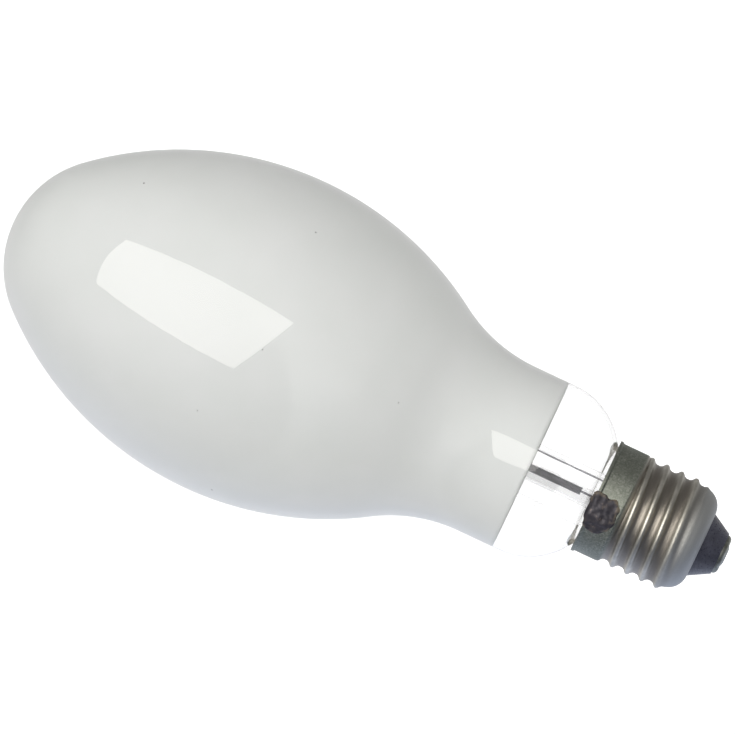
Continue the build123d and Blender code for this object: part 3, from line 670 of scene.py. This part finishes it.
def black_glass():
    """Pressed black glass: glossy, blue-black, with mould ripple, grease and light scuffs."""
    material, tree, shader, place = new_material("pressed_black_glass", {"IOR": 1.55})
    clouds = add_node(tree, "ShaderNodeTexNoise", place, 1 / (3.0 * MM), 4.0, 0.55)
    across = add_node(tree, "ShaderNodeVectorMath", place, (1.0, 0.3, 1.0), operation="MULTIPLY")
    scuffs = add_node(tree, "ShaderNodeTexNoise", across, 1 / (0.5 * MM), 4.0, 0.7)
    tones = [(0.35, "#30313d"), (0.7, "#454653")]
    colour = add_node(tree, "ShaderNodeValToRGB", clouds, stops=tones)
    greasy = add_node(tree, "ShaderNodeMapRange", scuffs, 0.6, 0.78, 0.0, 0.6)
    colour = add_node(tree, "ShaderNodeMix", greasy, colour, "#6a6c7a", data_type="RGBA")
    rough = add_node(tree, "ShaderNodeMapRange", scuffs, 0.4, 0.75, 0.26, 0.5)
    mould = add_node(tree, "ShaderNodeTexNoise", place, 1 / (2.4 * MM), 2.0, 0.55)
    relief = add_node(tree, "ShaderNodeBump", inputs={"Height": mould, "Distance": 0.12 * MM})
    relief = add_node(
        tree,
        "ShaderNodeBump",
        inputs={"Height": scuffs, "Distance": 0.02 * MM, "Normal": relief},
    )
    feed(shader, {"Base Color": colour, "Roughness": rough, "Normal": relief})
    return material


dress("cap_insulator", black_glass())


# Centre contact
# A small pressed cup of plated brass drawn up into an eyelet, worn where lampholders
# have touched it.


def worn_plate():
    """Worn plating: satin grey, scratched in rings and dulled in spots."""
    material, tree, shader, place = new_material("worn_plate", {"Metallic": 1.0})
    spots = add_node(tree, "ShaderNodeTexNoise", place, 1 / (1.2 * MM), 4.0, 0.65)
    along = add_node(tree, "ShaderNodeVectorMath", place, (1.0, 1.0, 0.2), operation="MULTIPLY")
    rings = add_node(tree, "ShaderNodeTexNoise", along, 1 / (0.25 * MM), 3.0, 0.55)
    tones = [(0.3, "#6c6d68"), (0.55, "#92948c"), (0.75, "#b4b5ad")]
    colour = add_node(tree, "ShaderNodeValToRGB", spots, stops=tones)
    rough = add_node(tree, "ShaderNodeMapRange", spots, 0.3, 0.7, 0.5, 0.3)
    relief = add_node(tree, "ShaderNodeBump", inputs={"Height": rings, "Distance": 0.03 * MM})
    feed(shader, {"Base Color": colour, "Roughness": rough, "Normal": relief})
    return material


dress("centre_contact", worn_plate())


# Solder on the centre contact
# A drop of tin solder that closes the eyelet, flattened and scratched by lampholders.


def dull_solder():
    """Tin solder: soft grey, frosted, with small pits."""
    material, tree, shader, place = new_material("dull_solder", {"Metallic": 1.0})
    frost = add_node(tree, "ShaderNodeTexNoise", place, 1 / (0.6 * MM), 4.0, 0.7)
    tones = [(0.3, "#6d6f70"), (0.7, "#a2a4a4")]
    colour = add_node(tree, "ShaderNodeValToRGB", frost, stops=tones)
    rough = add_node(tree, "ShaderNodeMapRange", frost, 0.3, 0.7, 0.32, 0.55)
    relief = add_node(tree, "ShaderNodeBump", inputs={"Height": frost, "Distance": 0.08 * MM})
    feed(shader, {"Base Color": colour, "Roughness": rough, "Normal": relief})
    return material


dress("centre_solder", dull_solder())


# Side solder
# A burnt, lumpy patch of solder that joins the side lead to the rim of the skirt, with
# tan flux run out at its edge. It sits on the skirt and laps over the rim. Its outline is
# in millimetres round the skirt and up it.

patch_turn = 255.0
patch_outline = [
    (4.7, 32.4),
    (4.5, 30.6),
    (3.9, 28.9),
    (4.6, 27.3),
    (3.2, 26.3),
    (0.6, 25.9),
    (-2.0, 26.1),
    (-3.4, 26.9),
    (-4.6, 28.3),
    (-4.9, 30.2),
    (-4.2, 31.6),
    (-2.2, 32.6),
    (0.6, 33.1),
    (3.0, 33.0),
]
patch_middle = (-0.2, 29.6)
patch_height = 1.25
patch_seat = -0.06
patch_rays = 144
patch_rings = 40

# How far each outline point's pull reaches, and how far the outline then wanders. Then
# the lumps: how close they lie, and how high they stand at least and over that.
pull_reach = 0.04
ragged_share = 0.03
lumps_per_mm = 0.42
lump_floor = 0.8
lump_share = 0.55

# The rim flares out over flare_run, from flare_below under its edge, and the patch turns
# in over it from lap_below.
flare_below = 1.8
flare_run = 1.5
lap_below = 0.3
lap_curl = 0.7


def burnt_solder():
    """Burnt solder: dark violet-grey and lumpy, with browner, lighter patches, and tan flux
    along its edge."""
    material, tree, shader, place = new_material("burnt_solder")
    patches = add_node(tree, "ShaderNodeTexNoise", place, 1 / (1.7 * MM), 4.0, 0.6)
    grain = add_node(tree, "ShaderNodeTexNoise", place, 1 / (0.4 * MM), 3.0, 0.55)
    tones = [(0.36, "#2f2c34"), (0.56, "#433f44"), (0.74, "#82776f")]
    colour = add_node(tree, "ShaderNodeValToRGB", patches, stops=tones)
    edge = add_node(tree, "ShaderNodeAttribute", attribute_name="edge").node.outputs["Fac"]
    outermost = add_node(tree, "ShaderNodeMapRange", edge, 0.8, 0.98, 0.0, 1.0)
    broken = add_node(tree, "ShaderNodeMapRange", patches, 0.42, 0.6, 0.0, 1.0)
    flux = add_node(tree, "ShaderNodeMath", outermost, broken, operation="MULTIPLY")
    colour = add_node(tree, "ShaderNodeMix", flux, colour, "#8f8370", data_type="RGBA")
    metal = add_node(tree, "ShaderNodeMapRange", patches, 0.45, 0.6, 0.2, 0.5)
    rough = add_node(tree, "ShaderNodeMapRange", grain, 0.3, 0.7, 0.42, 0.68)
    relief = add_node(tree, "ShaderNodeBump", inputs={"Height": patches, "Distance": 0.08 * MM})
    relief = add_node(
        tree,
        "ShaderNodeBump",
        inputs={"Height": grain, "Distance": 0.02 * MM, "Normal": relief},
    )
    finish = {"Base Color": colour, "Metallic": metal, "Roughness": rough, "Normal": relief}
    feed(shader, finish)
    return material


def seat_radius(height):
    """Radius of the surface that the patch lies on, which turns in over the rim."""
    flare = min(1.0, max(0.0, (height - rim_height + flare_below) / flare_run))
    over = max(0.0, height - rim_height + lap_below)
    flared = skirt_radius + lip_flare * flare * flare * (3 - 2 * flare)
    return flared - lap_curl * over * over


around = []
for across, height in patch_outline:
    s, z = across - patch_middle[0], height - patch_middle[1]
    around.append((atan2(z, s), hypot(s, z)))
around.sort()
reach_at = []
for ray in range(patch_rays):
    turn = -pi + 2 * pi * ray / patch_rays
    total = weight = 0.0
    for at, reach in around:
        gap = abs((turn - at + pi) % (2 * pi) - pi)
        pull = 1 / (gap * gap + pull_reach) ** 2
        total += reach * pull
        weight += pull
    ragged = mathutils_noise.noise(Vector((3 * cos(turn), 3 * sin(turn), 4.2)))
    reach_at.append((turn, total / weight * (1 + ragged_share * ragged)))
points = []
edges = []
for under in (False, True):
    for ring in range(patch_rings + 1):
        share = ring / patch_rings
        for turn, reach in reach_at:
            s = patch_middle[0] + reach * share * cos(turn)
            z = patch_middle[1] + reach * share * sin(turn)
            lump_at = Vector((s * lumps_per_mm, z * lumps_per_mm, 7.0))
            lumps = lump_floor + lump_share * mathutils_noise.fractal(lump_at, 1.0, 2.0, 2)
            dome = (1 - share**3) ** 0.55
            out = patch_seat if under else max(0.0, patch_height * dome * lumps)
            radius = seat_radius(z) + out
            spin = radians(patch_turn) + s / skirt_radius
            points.append((radius * cos(spin), radius * sin(spin), z))
            edges.append(share)
faces = []
layer = (patch_rings + 1) * patch_rays
for ring in range(patch_rings):
    near, far = ring * patch_rays, (ring + 1) * patch_rays
    for ray in range(patch_rays):
        after = (ray + 1) % patch_rays
        over = (near + ray, far + ray, far + after, near + after)
        faces += [over, tuple(layer + corner for corner in reversed(over))]
rim = patch_rings * patch_rays
for ray in range(patch_rays):
    after = (ray + 1) % patch_rays
    faces.append((rim + ray, layer + rim + ray, layer + rim + after, rim + after))
patch = mesh_object("side_solder_patch", points, faces, burnt_solder())
edge = patch.data.attributes.new("edge", "FLOAT", "POINT")
edge.data.foreach_set("value", edges)
shape = bmesh.new()
shape.from_mesh(patch.data)
bmesh.ops.remove_doubles(shape, verts=shape.verts, dist=0.001 * MM)
bmesh.ops.recalc_face_normals(shape, faces=shape.faces)
shape.to_mesh(patch.data)
shape.free()
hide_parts("side_solder")
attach(patch, BODY)


# Cement
# Baked resin cement between neck and skirt, set just inside the rim.


def baked_cement():
    """Baked cement: pale grey-tan, matt and grainy, with darker scorched spots."""
    material, tree, shader, place = new_material("baked_cement", {"Roughness": 0.88})
    grains = add_node(tree, "ShaderNodeTexNoise", place, 1 / (0.5 * MM), 4.0, 0.7)
    scorch = add_node(tree, "ShaderNodeTexNoise", place, 1 / (5.0 * MM), 3.0, 0.55)
    tones = [(0.3, "#b7b0a2"), (0.7, "#dad6cb")]
    colour = add_node(tree, "ShaderNodeValToRGB", grains, stops=tones)
    burnt = add_node(tree, "ShaderNodeMapRange", scorch, 0.55, 0.75, 0.0, 0.6)
    colour = add_node(tree, "ShaderNodeMix", burnt, colour, "#8a7757", data_type="RGBA")
    relief = add_node(tree, "ShaderNodeBump", inputs={"Height": grains, "Distance": 0.08 * MM})
    feed(shader, {"Base Color": colour, "Normal": relief})
    return material


dress("cap_cement", baked_cement())


# Stem and exhaust tube
# Drawn lead glass: a tube flared to the bulb's sealed end and pressed flat round the
# wires, with the exhaust tube inside it, melted shut at its tip.


def drawn_glass():
    """Drawn glass tube: clear, with faint draw lines along it and a trace of bloom."""
    material, tree, shader, place = new_material(
        "drawn_glass", {"Base Color": "#fefefe", "Transmission Weight": 1.0, "IOR": 1.5}
    )
    along = add_node(tree, "ShaderNodeVectorMath", place, (1.0, 1.0, 0.05), operation="MULTIPLY")
    lines = add_node(tree, "ShaderNodeTexNoise", along, 1 / (0.7 * MM), 2.0, 0.55)
    bloom = add_node(tree, "ShaderNodeTexNoise", place, 1 / (2.5 * MM), 3.0, 0.55)
    relief = add_node(tree, "ShaderNodeBump", inputs={"Height": lines, "Distance": 0.006 * MM})
    rough = add_node(tree, "ShaderNodeMapRange", bloom, 0.5, 0.8, 0.0, 0.03)
    feed(shader, {"Roughness": rough, "Normal": relief})
    return material


stem_material = drawn_glass()
for node in ("stem_flare", "exhaust_tube"):
    dress(node, stem_material)
    see_through(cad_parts[node])


# Outer leads
# Two thin drawn wires from the press, one to the centre contact and one to the rim.


def drawn_wire(name, tones, roughness, lump, streak=0.1):
    """Drawn or rolled metal: satin and mottled. Its draw lines are too fine to show, so
    they are drawn 0.15 mm wide."""
    material, tree, shader, place = new_material(name, {"Metallic": 1.0})
    mottle = add_node(tree, "ShaderNodeTexNoise", place, 1 / (lump * MM), 4.0, 0.6)
    along = add_node(
        tree, "ShaderNodeVectorMath", place, (1.0, 1.0, streak), operation="MULTIPLY"
    )
    lines = add_node(tree, "ShaderNodeTexNoise", along, 1 / (0.15 * MM), 2.0, 0.55)
    dark, light = tones
    shades = [(0.3, dark), (0.72, light)]
    colour = add_node(tree, "ShaderNodeValToRGB", mottle, stops=shades)
    span = (roughness * 1.25, roughness * 0.8)
    rough = add_node(tree, "ShaderNodeMapRange", mottle, 0.3, 0.7, *span)
    relief = add_node(tree, "ShaderNodeBump", inputs={"Height": lines, "Distance": 0.012 * MM})
    feed(shader, {"Base Color": colour, "Roughness": rough, "Normal": relief})
    return material


lead_material = drawn_wire("drawn_lead_wire", ("#55535c", "#84828a"), 0.38, 1.5)
for node in ("centre_outer_lead", "side_outer_lead", "resistor_leads"):
    dress(node, lead_material)


# Sleeve on the side lead
# Dark glass-fibre sleeving, braided from flat strands that cross over and under.

sleeve_low, sleeve_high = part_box("side_lead_sleeve")
sleeve_place = (sleeve_low + sleeve_high) / 2
sleeve_length = 13.4
sleeve_bore = 0.3
lining_radius = 0.7
braid_radius = 0.72
strand_radius = 0.1
strand_rise = 0.035
strand_turns = 4.5
strand_count = 8


def braid_group():
    """Strands wound both ways round a tube. They rise and fall where they cross."""
    group, given = make_group(
        "braided_sleeve",
        {
            "Radius": braid_radius * MM,
            "Length": sleeve_length * MM,
            "Turns": strand_turns,
            "Strands": strand_count,
            "Strand radius": strand_radius * MM,
            "Rise": strand_rise * MM,
        },
    )
    thickness = {"Resolution": 8, "Radius": given["Strand radius"]}
    section = add_node(group, "GeometryNodeCurvePrimitiveCircle", inputs=thickness)
    index = add_node(group, "GeometryNodeInputIndex")
    share = add_node(group, "ShaderNodeMath", index, given["Strands"], operation="DIVIDE")
    spin = add_node(group, "ShaderNodeMath", share, 2 * pi, operation="MULTIPLY")
    start = add_node(group, "ShaderNodeCombineXYZ", inputs={"Z": spin})
    starts = add_node(group, "GeometryNodePoints", inputs={"Count": given["Strands"]})
    place = add_node(group, "GeometryNodeInputPosition")
    flat = add_node(group, "ShaderNodeVectorMath", place, (1.0, 1.0, 0.0), operation="MULTIPLY")
    away = add_node(group, "ShaderNodeVectorMath", flat, operation="NORMALIZE")
    along = add_node(group, "GeometryNodeSplineParameter")
    crossings = add_node(
        group, "ShaderNodeMath", given["Turns"], given["Strands"], operation="MULTIPLY"
    )
    crossed = add_node(group, "ShaderNodeMath", along, crossings, operation="MULTIPLY")
    swing = add_node(group, "ShaderNodeMath", crossed, 2 * pi, operation="MULTIPLY")
    wave = add_node(group, "ShaderNodeMath", swing, operation="SINE")
    rise = add_node(group, "ShaderNodeMath", wave, given["Rise"], operation="MULTIPLY")
    hands = []
    for reverse, sense in ((False, 1.0), (True, -1.0)):
        winding = {
            "Resolution": 40,
            "Rotations": given["Turns"],
            "Start Radius": given["Radius"],
            "End Radius": given["Radius"],
            "Height": given["Length"],
            "Reverse": reverse,
        }
        spiral = add_node(group, "GeometryNodeCurveSpiral", inputs=winding)
        wound = {"Points": starts, "Instance": spiral, "Rotation": start}
        strands = add_node(group, "GeometryNodeInstanceOnPoints", inputs=wound)
        strands = add_node(group, "GeometryNodeRealizeInstances", strands)
        out = add_node(group, "ShaderNodeMath", rise, sense, operation="MULTIPLY")
        lift = add_node(group, "ShaderNodeVectorMath", away, out, operation="SCALE")
        lifted = {"Geometry": strands, "Offset": lift}
        strands = add_node(group, "GeometryNodeSetPosition", inputs=lifted)
        solid = {"Curve": strands, "Profile Curve": section, "Fill Caps": True}
        hands.append(add_node(group, "GeometryNodeCurveToMesh", inputs=solid))
    joined = add_node(group, "GeometryNodeJoinGeometry", given["Geometry"])
    for strands in hands:
        feed(joined.node, {"Geometry": strands})
    return group, joined


def woven_fibre():
    """Woven glass fibre, blackened: satin strands with lighter worn fibres, which are too
    fine to show and drawn 0.12 mm wide."""
    material, tree, shader, place = new_material("woven_fibre", {"Roughness": 0.6})
    along = add_node(tree, "ShaderNodeVectorMath", place, (1.0, 1.0, 0.4), operation="MULTIPLY")
    fibres = add_node(tree, "ShaderNodeTexNoise", along, 1 / (0.12 * MM), 3.0, 0.7)
    wear = add_node(tree, "ShaderNodeTexNoise", place, 1 / (1.6 * MM), 3.0, 0.55)
    tones = [(0.35, "#25232a"), (0.65, "#4a4750")]
    colour = add_node(tree, "ShaderNodeValToRGB", fibres, stops=tones)
    worn = add_node(tree, "ShaderNodeMapRange", wear, 0.5, 0.7, 0.0, 0.7)
    colour = add_node(tree, "ShaderNodeMix", worn, colour, "#7d7a82", data_type="RGBA")
    relief = add_node(tree, "ShaderNodeBump", inputs={"Height": fibres, "Distance": 0.02 * MM})
    feed(shader, {"Base Color": colour, "Normal": relief})
    return material


fibre = woven_fibre()
lining = [
    (lining_radius, sleeve_length),
    (lining_radius, 0.0),
    (sleeve_bore, 0.0),
    (sleeve_bore, sleeve_length),
]
core = lathe("sleeve_core", lining, fibre, segments=32)
group, strands = braid_group()
finish_group(group, strands, fibre)
braid = grown("lead_sleeve_braid", core, group, {"Strands": strand_count})
braid.data.transform(Matrix.Translation((sleeve_place.x, sleeve_place.y, sleeve_low.z)))
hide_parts("side_lead_sleeve")
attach(braid, BODY)


# Mount inside the bulb
# A nickel-plated frame carries the quartz arc tube. Its electrodes are tungsten, its
# seals molybdenum foil, and a ceramic resistor feeds the starting electrode.

nickel = drawn_wire("nickel_plated_steel", ("#86837b", "#b3b0a7"), 0.34, 2.0)
tungsten = drawn_wire("drawn_tungsten", ("#38383c", "#606065"), 0.45, 0.6)
molybdenum = drawn_wire("rolled_molybdenum", ("#68686d", "#929297"), 0.3, 0.8)
sealed = drawn_wire("oxidised_seal_wire", ("#4a372b", "#70533f"), 0.5, 0.5)
finishes = {
    nickel: (
        "support_frame",
        "centre_inner_lead",
        "upper_pinch_clamp",
        "lower_pinch_clamp",
        "upper_ribbon",
        "lower_ribbon",
        "resistor_end_caps",
    ),
    tungsten: (
        "upper_electrode_rod",
        "lower_electrode_rod",
        "upper_electrode_coil",
        "lower_electrode_coil",
        "starting_electrode",
    ),
    molybdenum: (
        "upper_seal_foil",
        "lower_seal_foil",
        "starting_seal_foil",
        "upper_seal_lead",
        "lower_seal_lead",
        "starting_seal_lead",
    ),
    sealed: ("press_seal_wires",),
}
for material, names in finishes.items():
    for node in names:
        dress(node, material)


def fused_quartz():
    """Fused quartz: clear, with fine bubbles and draw streaks."""
    material, tree, shader, place = new_material(
        "fused_quartz", {"Base Color": "#fbfcfe", "Transmission Weight": 1.0, "IOR": 1.46}
    )
    along = add_node(tree, "ShaderNodeVectorMath", place, (1.0, 1.0, 0.08), operation="MULTIPLY")
    streaks = add_node(tree, "ShaderNodeTexNoise", along, 1 / (0.9 * MM), 3.0, 0.55)
    bubbles = add_node(tree, "ShaderNodeTexNoise", place, 1 / (0.5 * MM), 2.0, 0.55)
    relief = add_node(tree, "ShaderNodeBump", inputs={"Height": streaks, "Distance": 0.03 * MM})
    rough = add_node(tree, "ShaderNodeMapRange", bubbles, 0.62, 0.8, 0.0, 0.15)
    feed(shader, {"Roughness": rough, "Normal": relief})
    return material


dress("arc_tube", fused_quartz())
see_through(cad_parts["arc_tube"])
dress("mercury_bead", drawn_wire("liquid_mercury", ("#c4c4c9", "#dedee3"), 0.04, 3.0, 1.0))


def glazed_ceramic():
    """Glazed cream ceramic with a slight orange peel and a few brown fire spots."""
    material, tree, shader, place = new_material("glazed_ceramic", {"Coat Weight": 0.6})
    spots = add_node(tree, "ShaderNodeTexNoise", place, 1 / (0.9 * MM), 3.0, 0.55)
    tones = [(0.3, "#8d7b62"), (0.42, "#d4ccb8"), (0.8, "#ded7c6")]
    colour = add_node(tree, "ShaderNodeValToRGB", spots, stops=tones)
    rough = add_node(tree, "ShaderNodeMapRange", spots, 0.3, 0.7, 0.35, 0.2)
    peel = add_node(tree, "ShaderNodeTexNoise", place, 1 / (0.6 * MM), 2.0, 0.55)
    relief = add_node(tree, "ShaderNodeBump", inputs={"Height": peel, "Distance": 0.03 * MM})
    feed(shader, {"Base Color": colour, "Roughness": rough, "Normal": relief})
    return material


dress("starting_resistor", glazed_ceramic())


# Studio
# A long lens looks square on to the lamp, a little from the cap's side, with the dome
# up on the left. A soft box in front, above the dome, makes the highlight, and broad
# lamps that gloss doesn't show light the powder evenly. The lamp floats above a white
# floor, before a white backdrop. Metal and glass also reflect the room in the world.

shot_tilt = radians(1.8)
shot_distance = 1.6
px_per_mm = 4.466
frame_px = 735
lamp_middle = Vector((0.0, 0.0, 88.1 * MM))
middle_px = Vector((369.3, 388.7))
sensor = 36.0
softbox_glow = 4.1
floor_lift = 0.6
backdrop_lift = 0.26
half_width = 4000.0
backdrop_at = 3900.0
floor_at = -30.0
room_light = 0.1
room_gloss = 0.26
ahead = Vector((0.0, cos(shot_tilt), sin(shot_tilt)))
right = Vector((0.4258, 0.0, -0.9048))
right = (right - ahead * right.dot(ahead)).normalized()
up = right.cross(ahead)
shift = middle_px - Vector((frame_px / 2, frame_px / 2))
aim = lamp_middle - right * (shift.x * MM / px_per_mm) + up * (shift.y * MM / px_per_mm)

camera_data = bpy.data.cameras.new("camera")
camera_data.sensor_width = sensor
camera_data.lens = sensor * shot_distance / (frame_px / px_per_mm * MM)
camera_data.clip_end = 20.0
camera = bpy.data.objects.new("camera", camera_data)
turn = Matrix((right, up, -ahead)).transposed().to_4x4()
camera.matrix_world = Matrix.Translation(aim - ahead * shot_distance) @ turn
bpy.context.scene.collection.objects.link(camera)
bpy.context.scene.camera = camera


def studio_place(across, above, toward):
    """A place in metres from the lamp, along the picture's axes and towards the camera."""
    return lamp_middle + right * across + up * above - ahead * toward


card_corners = [
    studio_place(-0.652, 0.720, 0.519),
    studio_place(0.298, 0.281, 1.134),
    studio_place(-0.290, -0.404, 0.988),
    studio_place(-0.937, 0.170, 0.502),
]
card_material = bpy.data.materials.new("softbox_cloth")
card_material.use_nodes = True
card_tree = card_material.node_tree
card_tree.nodes.clear()
glow = add_node(card_tree, "ShaderNodeEmission", "#fffdf8", softbox_glow)
add_node(card_tree, "ShaderNodeOutputMaterial", glow)
card_points = [tuple(corner / MM) for corner in card_corners]
card = mesh_object("softbox", card_points, [(0, 1, 2, 3)], card_material)
card.visible_camera = False
card.visible_diffuse = False
card.visible_transmission = False

even_lamps = {
    "front_fill": (-ahead, 1.46, 140.0),
    "upper_fill": (up * 1.2 - ahead, 0.64, 70.0),
    "dome_fill": (-right * 1.2 - ahead, 1.28, 70.0),
}
for name, (facing, power, spread) in even_lamps.items():
    lamp_data = bpy.data.lights.new(name, "SUN")
    lamp_data.energy = power
    lamp_data.angle = radians(spread)
    lamp = bpy.data.objects.new(name, lamp_data)
    lamp.rotation_euler = facing.to_track_quat("Z", "Y").to_euler()
    lamp.visible_camera = False
    lamp.visible_glossy = False
    lamp.visible_transmission = False
    bpy.context.scene.collection.objects.link(lamp)


def white_sheet(name, lift):
    """White paper, lifted to plain white for the camera, less the lamp's shadow."""
    material, tree, shader, place = new_material(
        name, {"Roughness": 0.9, "Emission Color": "#ffffff"}
    )
    fibres = add_node(tree, "ShaderNodeTexNoise", place, 1 / (2.0 * MM), 3.0, 0.55)
    tones = [(0.3, "#f4f4f4"), (0.7, "#f8f8f8")]
    colour = add_node(tree, "ShaderNodeValToRGB", fibres, stops=tones)
    path = add_node(tree, "ShaderNodeLightPath").node.outputs
    kinds = (path["Is Transmission Ray"], path["Is Glossy Ray"])
    bent = add_node(tree, "ShaderNodeMath", *kinds, operation="MAXIMUM")
    first = add_node(tree, "ShaderNodeMath", path["Diffuse Depth"], 0.5, operation="LESS_THAN")
    bent = add_node(tree, "ShaderNodeMath", bent, first, operation="MULTIPLY")
    shown = add_node(tree, "ShaderNodeMath", bent, path["Is Camera Ray"], operation="MAXIMUM")
    glow = add_node(tree, "ShaderNodeMath", shown, lift, operation="MULTIPLY")
    feed(shader, {"Base Color": colour, "Emission Strength": glow})
    return material


near_edge = [(-half_width, -half_width, floor_at), (half_width, -half_width, floor_at)]
far_edge = [(half_width, half_width, floor_at), (-half_width, half_width, floor_at)]
foot = [(-half_width, backdrop_at, floor_at), (half_width, backdrop_at, floor_at)]
head = [(half_width, backdrop_at, half_width), (-half_width, backdrop_at, half_width)]
floor_paper = white_sheet("floor_paper", floor_lift)
wall_paper = white_sheet("wall_paper", backdrop_lift)
floor = mesh_object("floor", near_edge + far_edge, [(0, 1, 2, 3)], floor_paper)
backdrop = mesh_object("backdrop", foot + head, [(0, 1, 2, 3)], wall_paper)
for paper in (floor, backdrop):
    paper.visible_shadow = False
    paper.visible_glossy = False

world = bpy.data.worlds.new("studio")
world.use_nodes = True
bpy.context.scene.world = world
sky = world.node_tree
sky.nodes.clear()
looked = add_node(sky, "ShaderNodeTexCoord")
behind, below = [
    add_node(sky, "ShaderNodeVectorMath", looked, tuple(axis), operation="DOT_PRODUCT")
    for axis in (ahead, -up)
]
path = add_node(sky, "ShaderNodeLightPath").node.outputs

# The room is darker towards the camera and above, and cooler below.
lower = add_node(sky, "ShaderNodeMath", below, 0.3, operation="MULTIPLY")
sweep = add_node(sky, "ShaderNodeMath", behind, lower, operation="ADD")
sweep = add_node(sky, "ShaderNodeMapRange", sweep, 0.05, 0.75, 0.0, 1.0)
side = add_node(sky, "ShaderNodeMapRange", below, -0.6, 0.5, 0.16, 0.9)
lit = add_node(sky, "ShaderNodeMath", sweep, side, operation="MULTIPLY")
lit = add_node(sky, "ShaderNodeMath", lit, room_gloss, operation="ADD")

# Plain white for the camera, and for what it sees through glass.
passed = add_node(sky, "ShaderNodeMath", path["Transmission Depth"], 0.5, operation="GREATER_THAN")
first = add_node(sky, "ShaderNodeMath", path["Diffuse Depth"], 0.5, operation="LESS_THAN")
through = add_node(sky, "ShaderNodeMath", passed, first, operation="MULTIPLY")
seen = add_node(sky, "ShaderNodeMath", path["Is Camera Ray"], through, operation="MAXIMUM")
rest = add_node(sky, "ShaderNodeMix", path["Is Glossy Ray"], room_light, lit)
strength = add_node(sky, "ShaderNodeMix", seen, rest, 1.0)
cooler = add_node(sky, "ShaderNodeMapRange", below, 0.0, 0.7, 0.0, 1.0)
cool = add_node(sky, "ShaderNodeMix", cooler, "#ffffff", "#dbe6ff", data_type="RGBA")
tint = add_node(sky, "ShaderNodeMix", seen, cool, "#ffffff", data_type="RGBA")
light = add_node(sky, "ShaderNodeBackground", tint, strength)
add_node(sky, "ShaderNodeOutputWorld", light)

bpy.context.scene.view_settings.view_transform = "Standard"
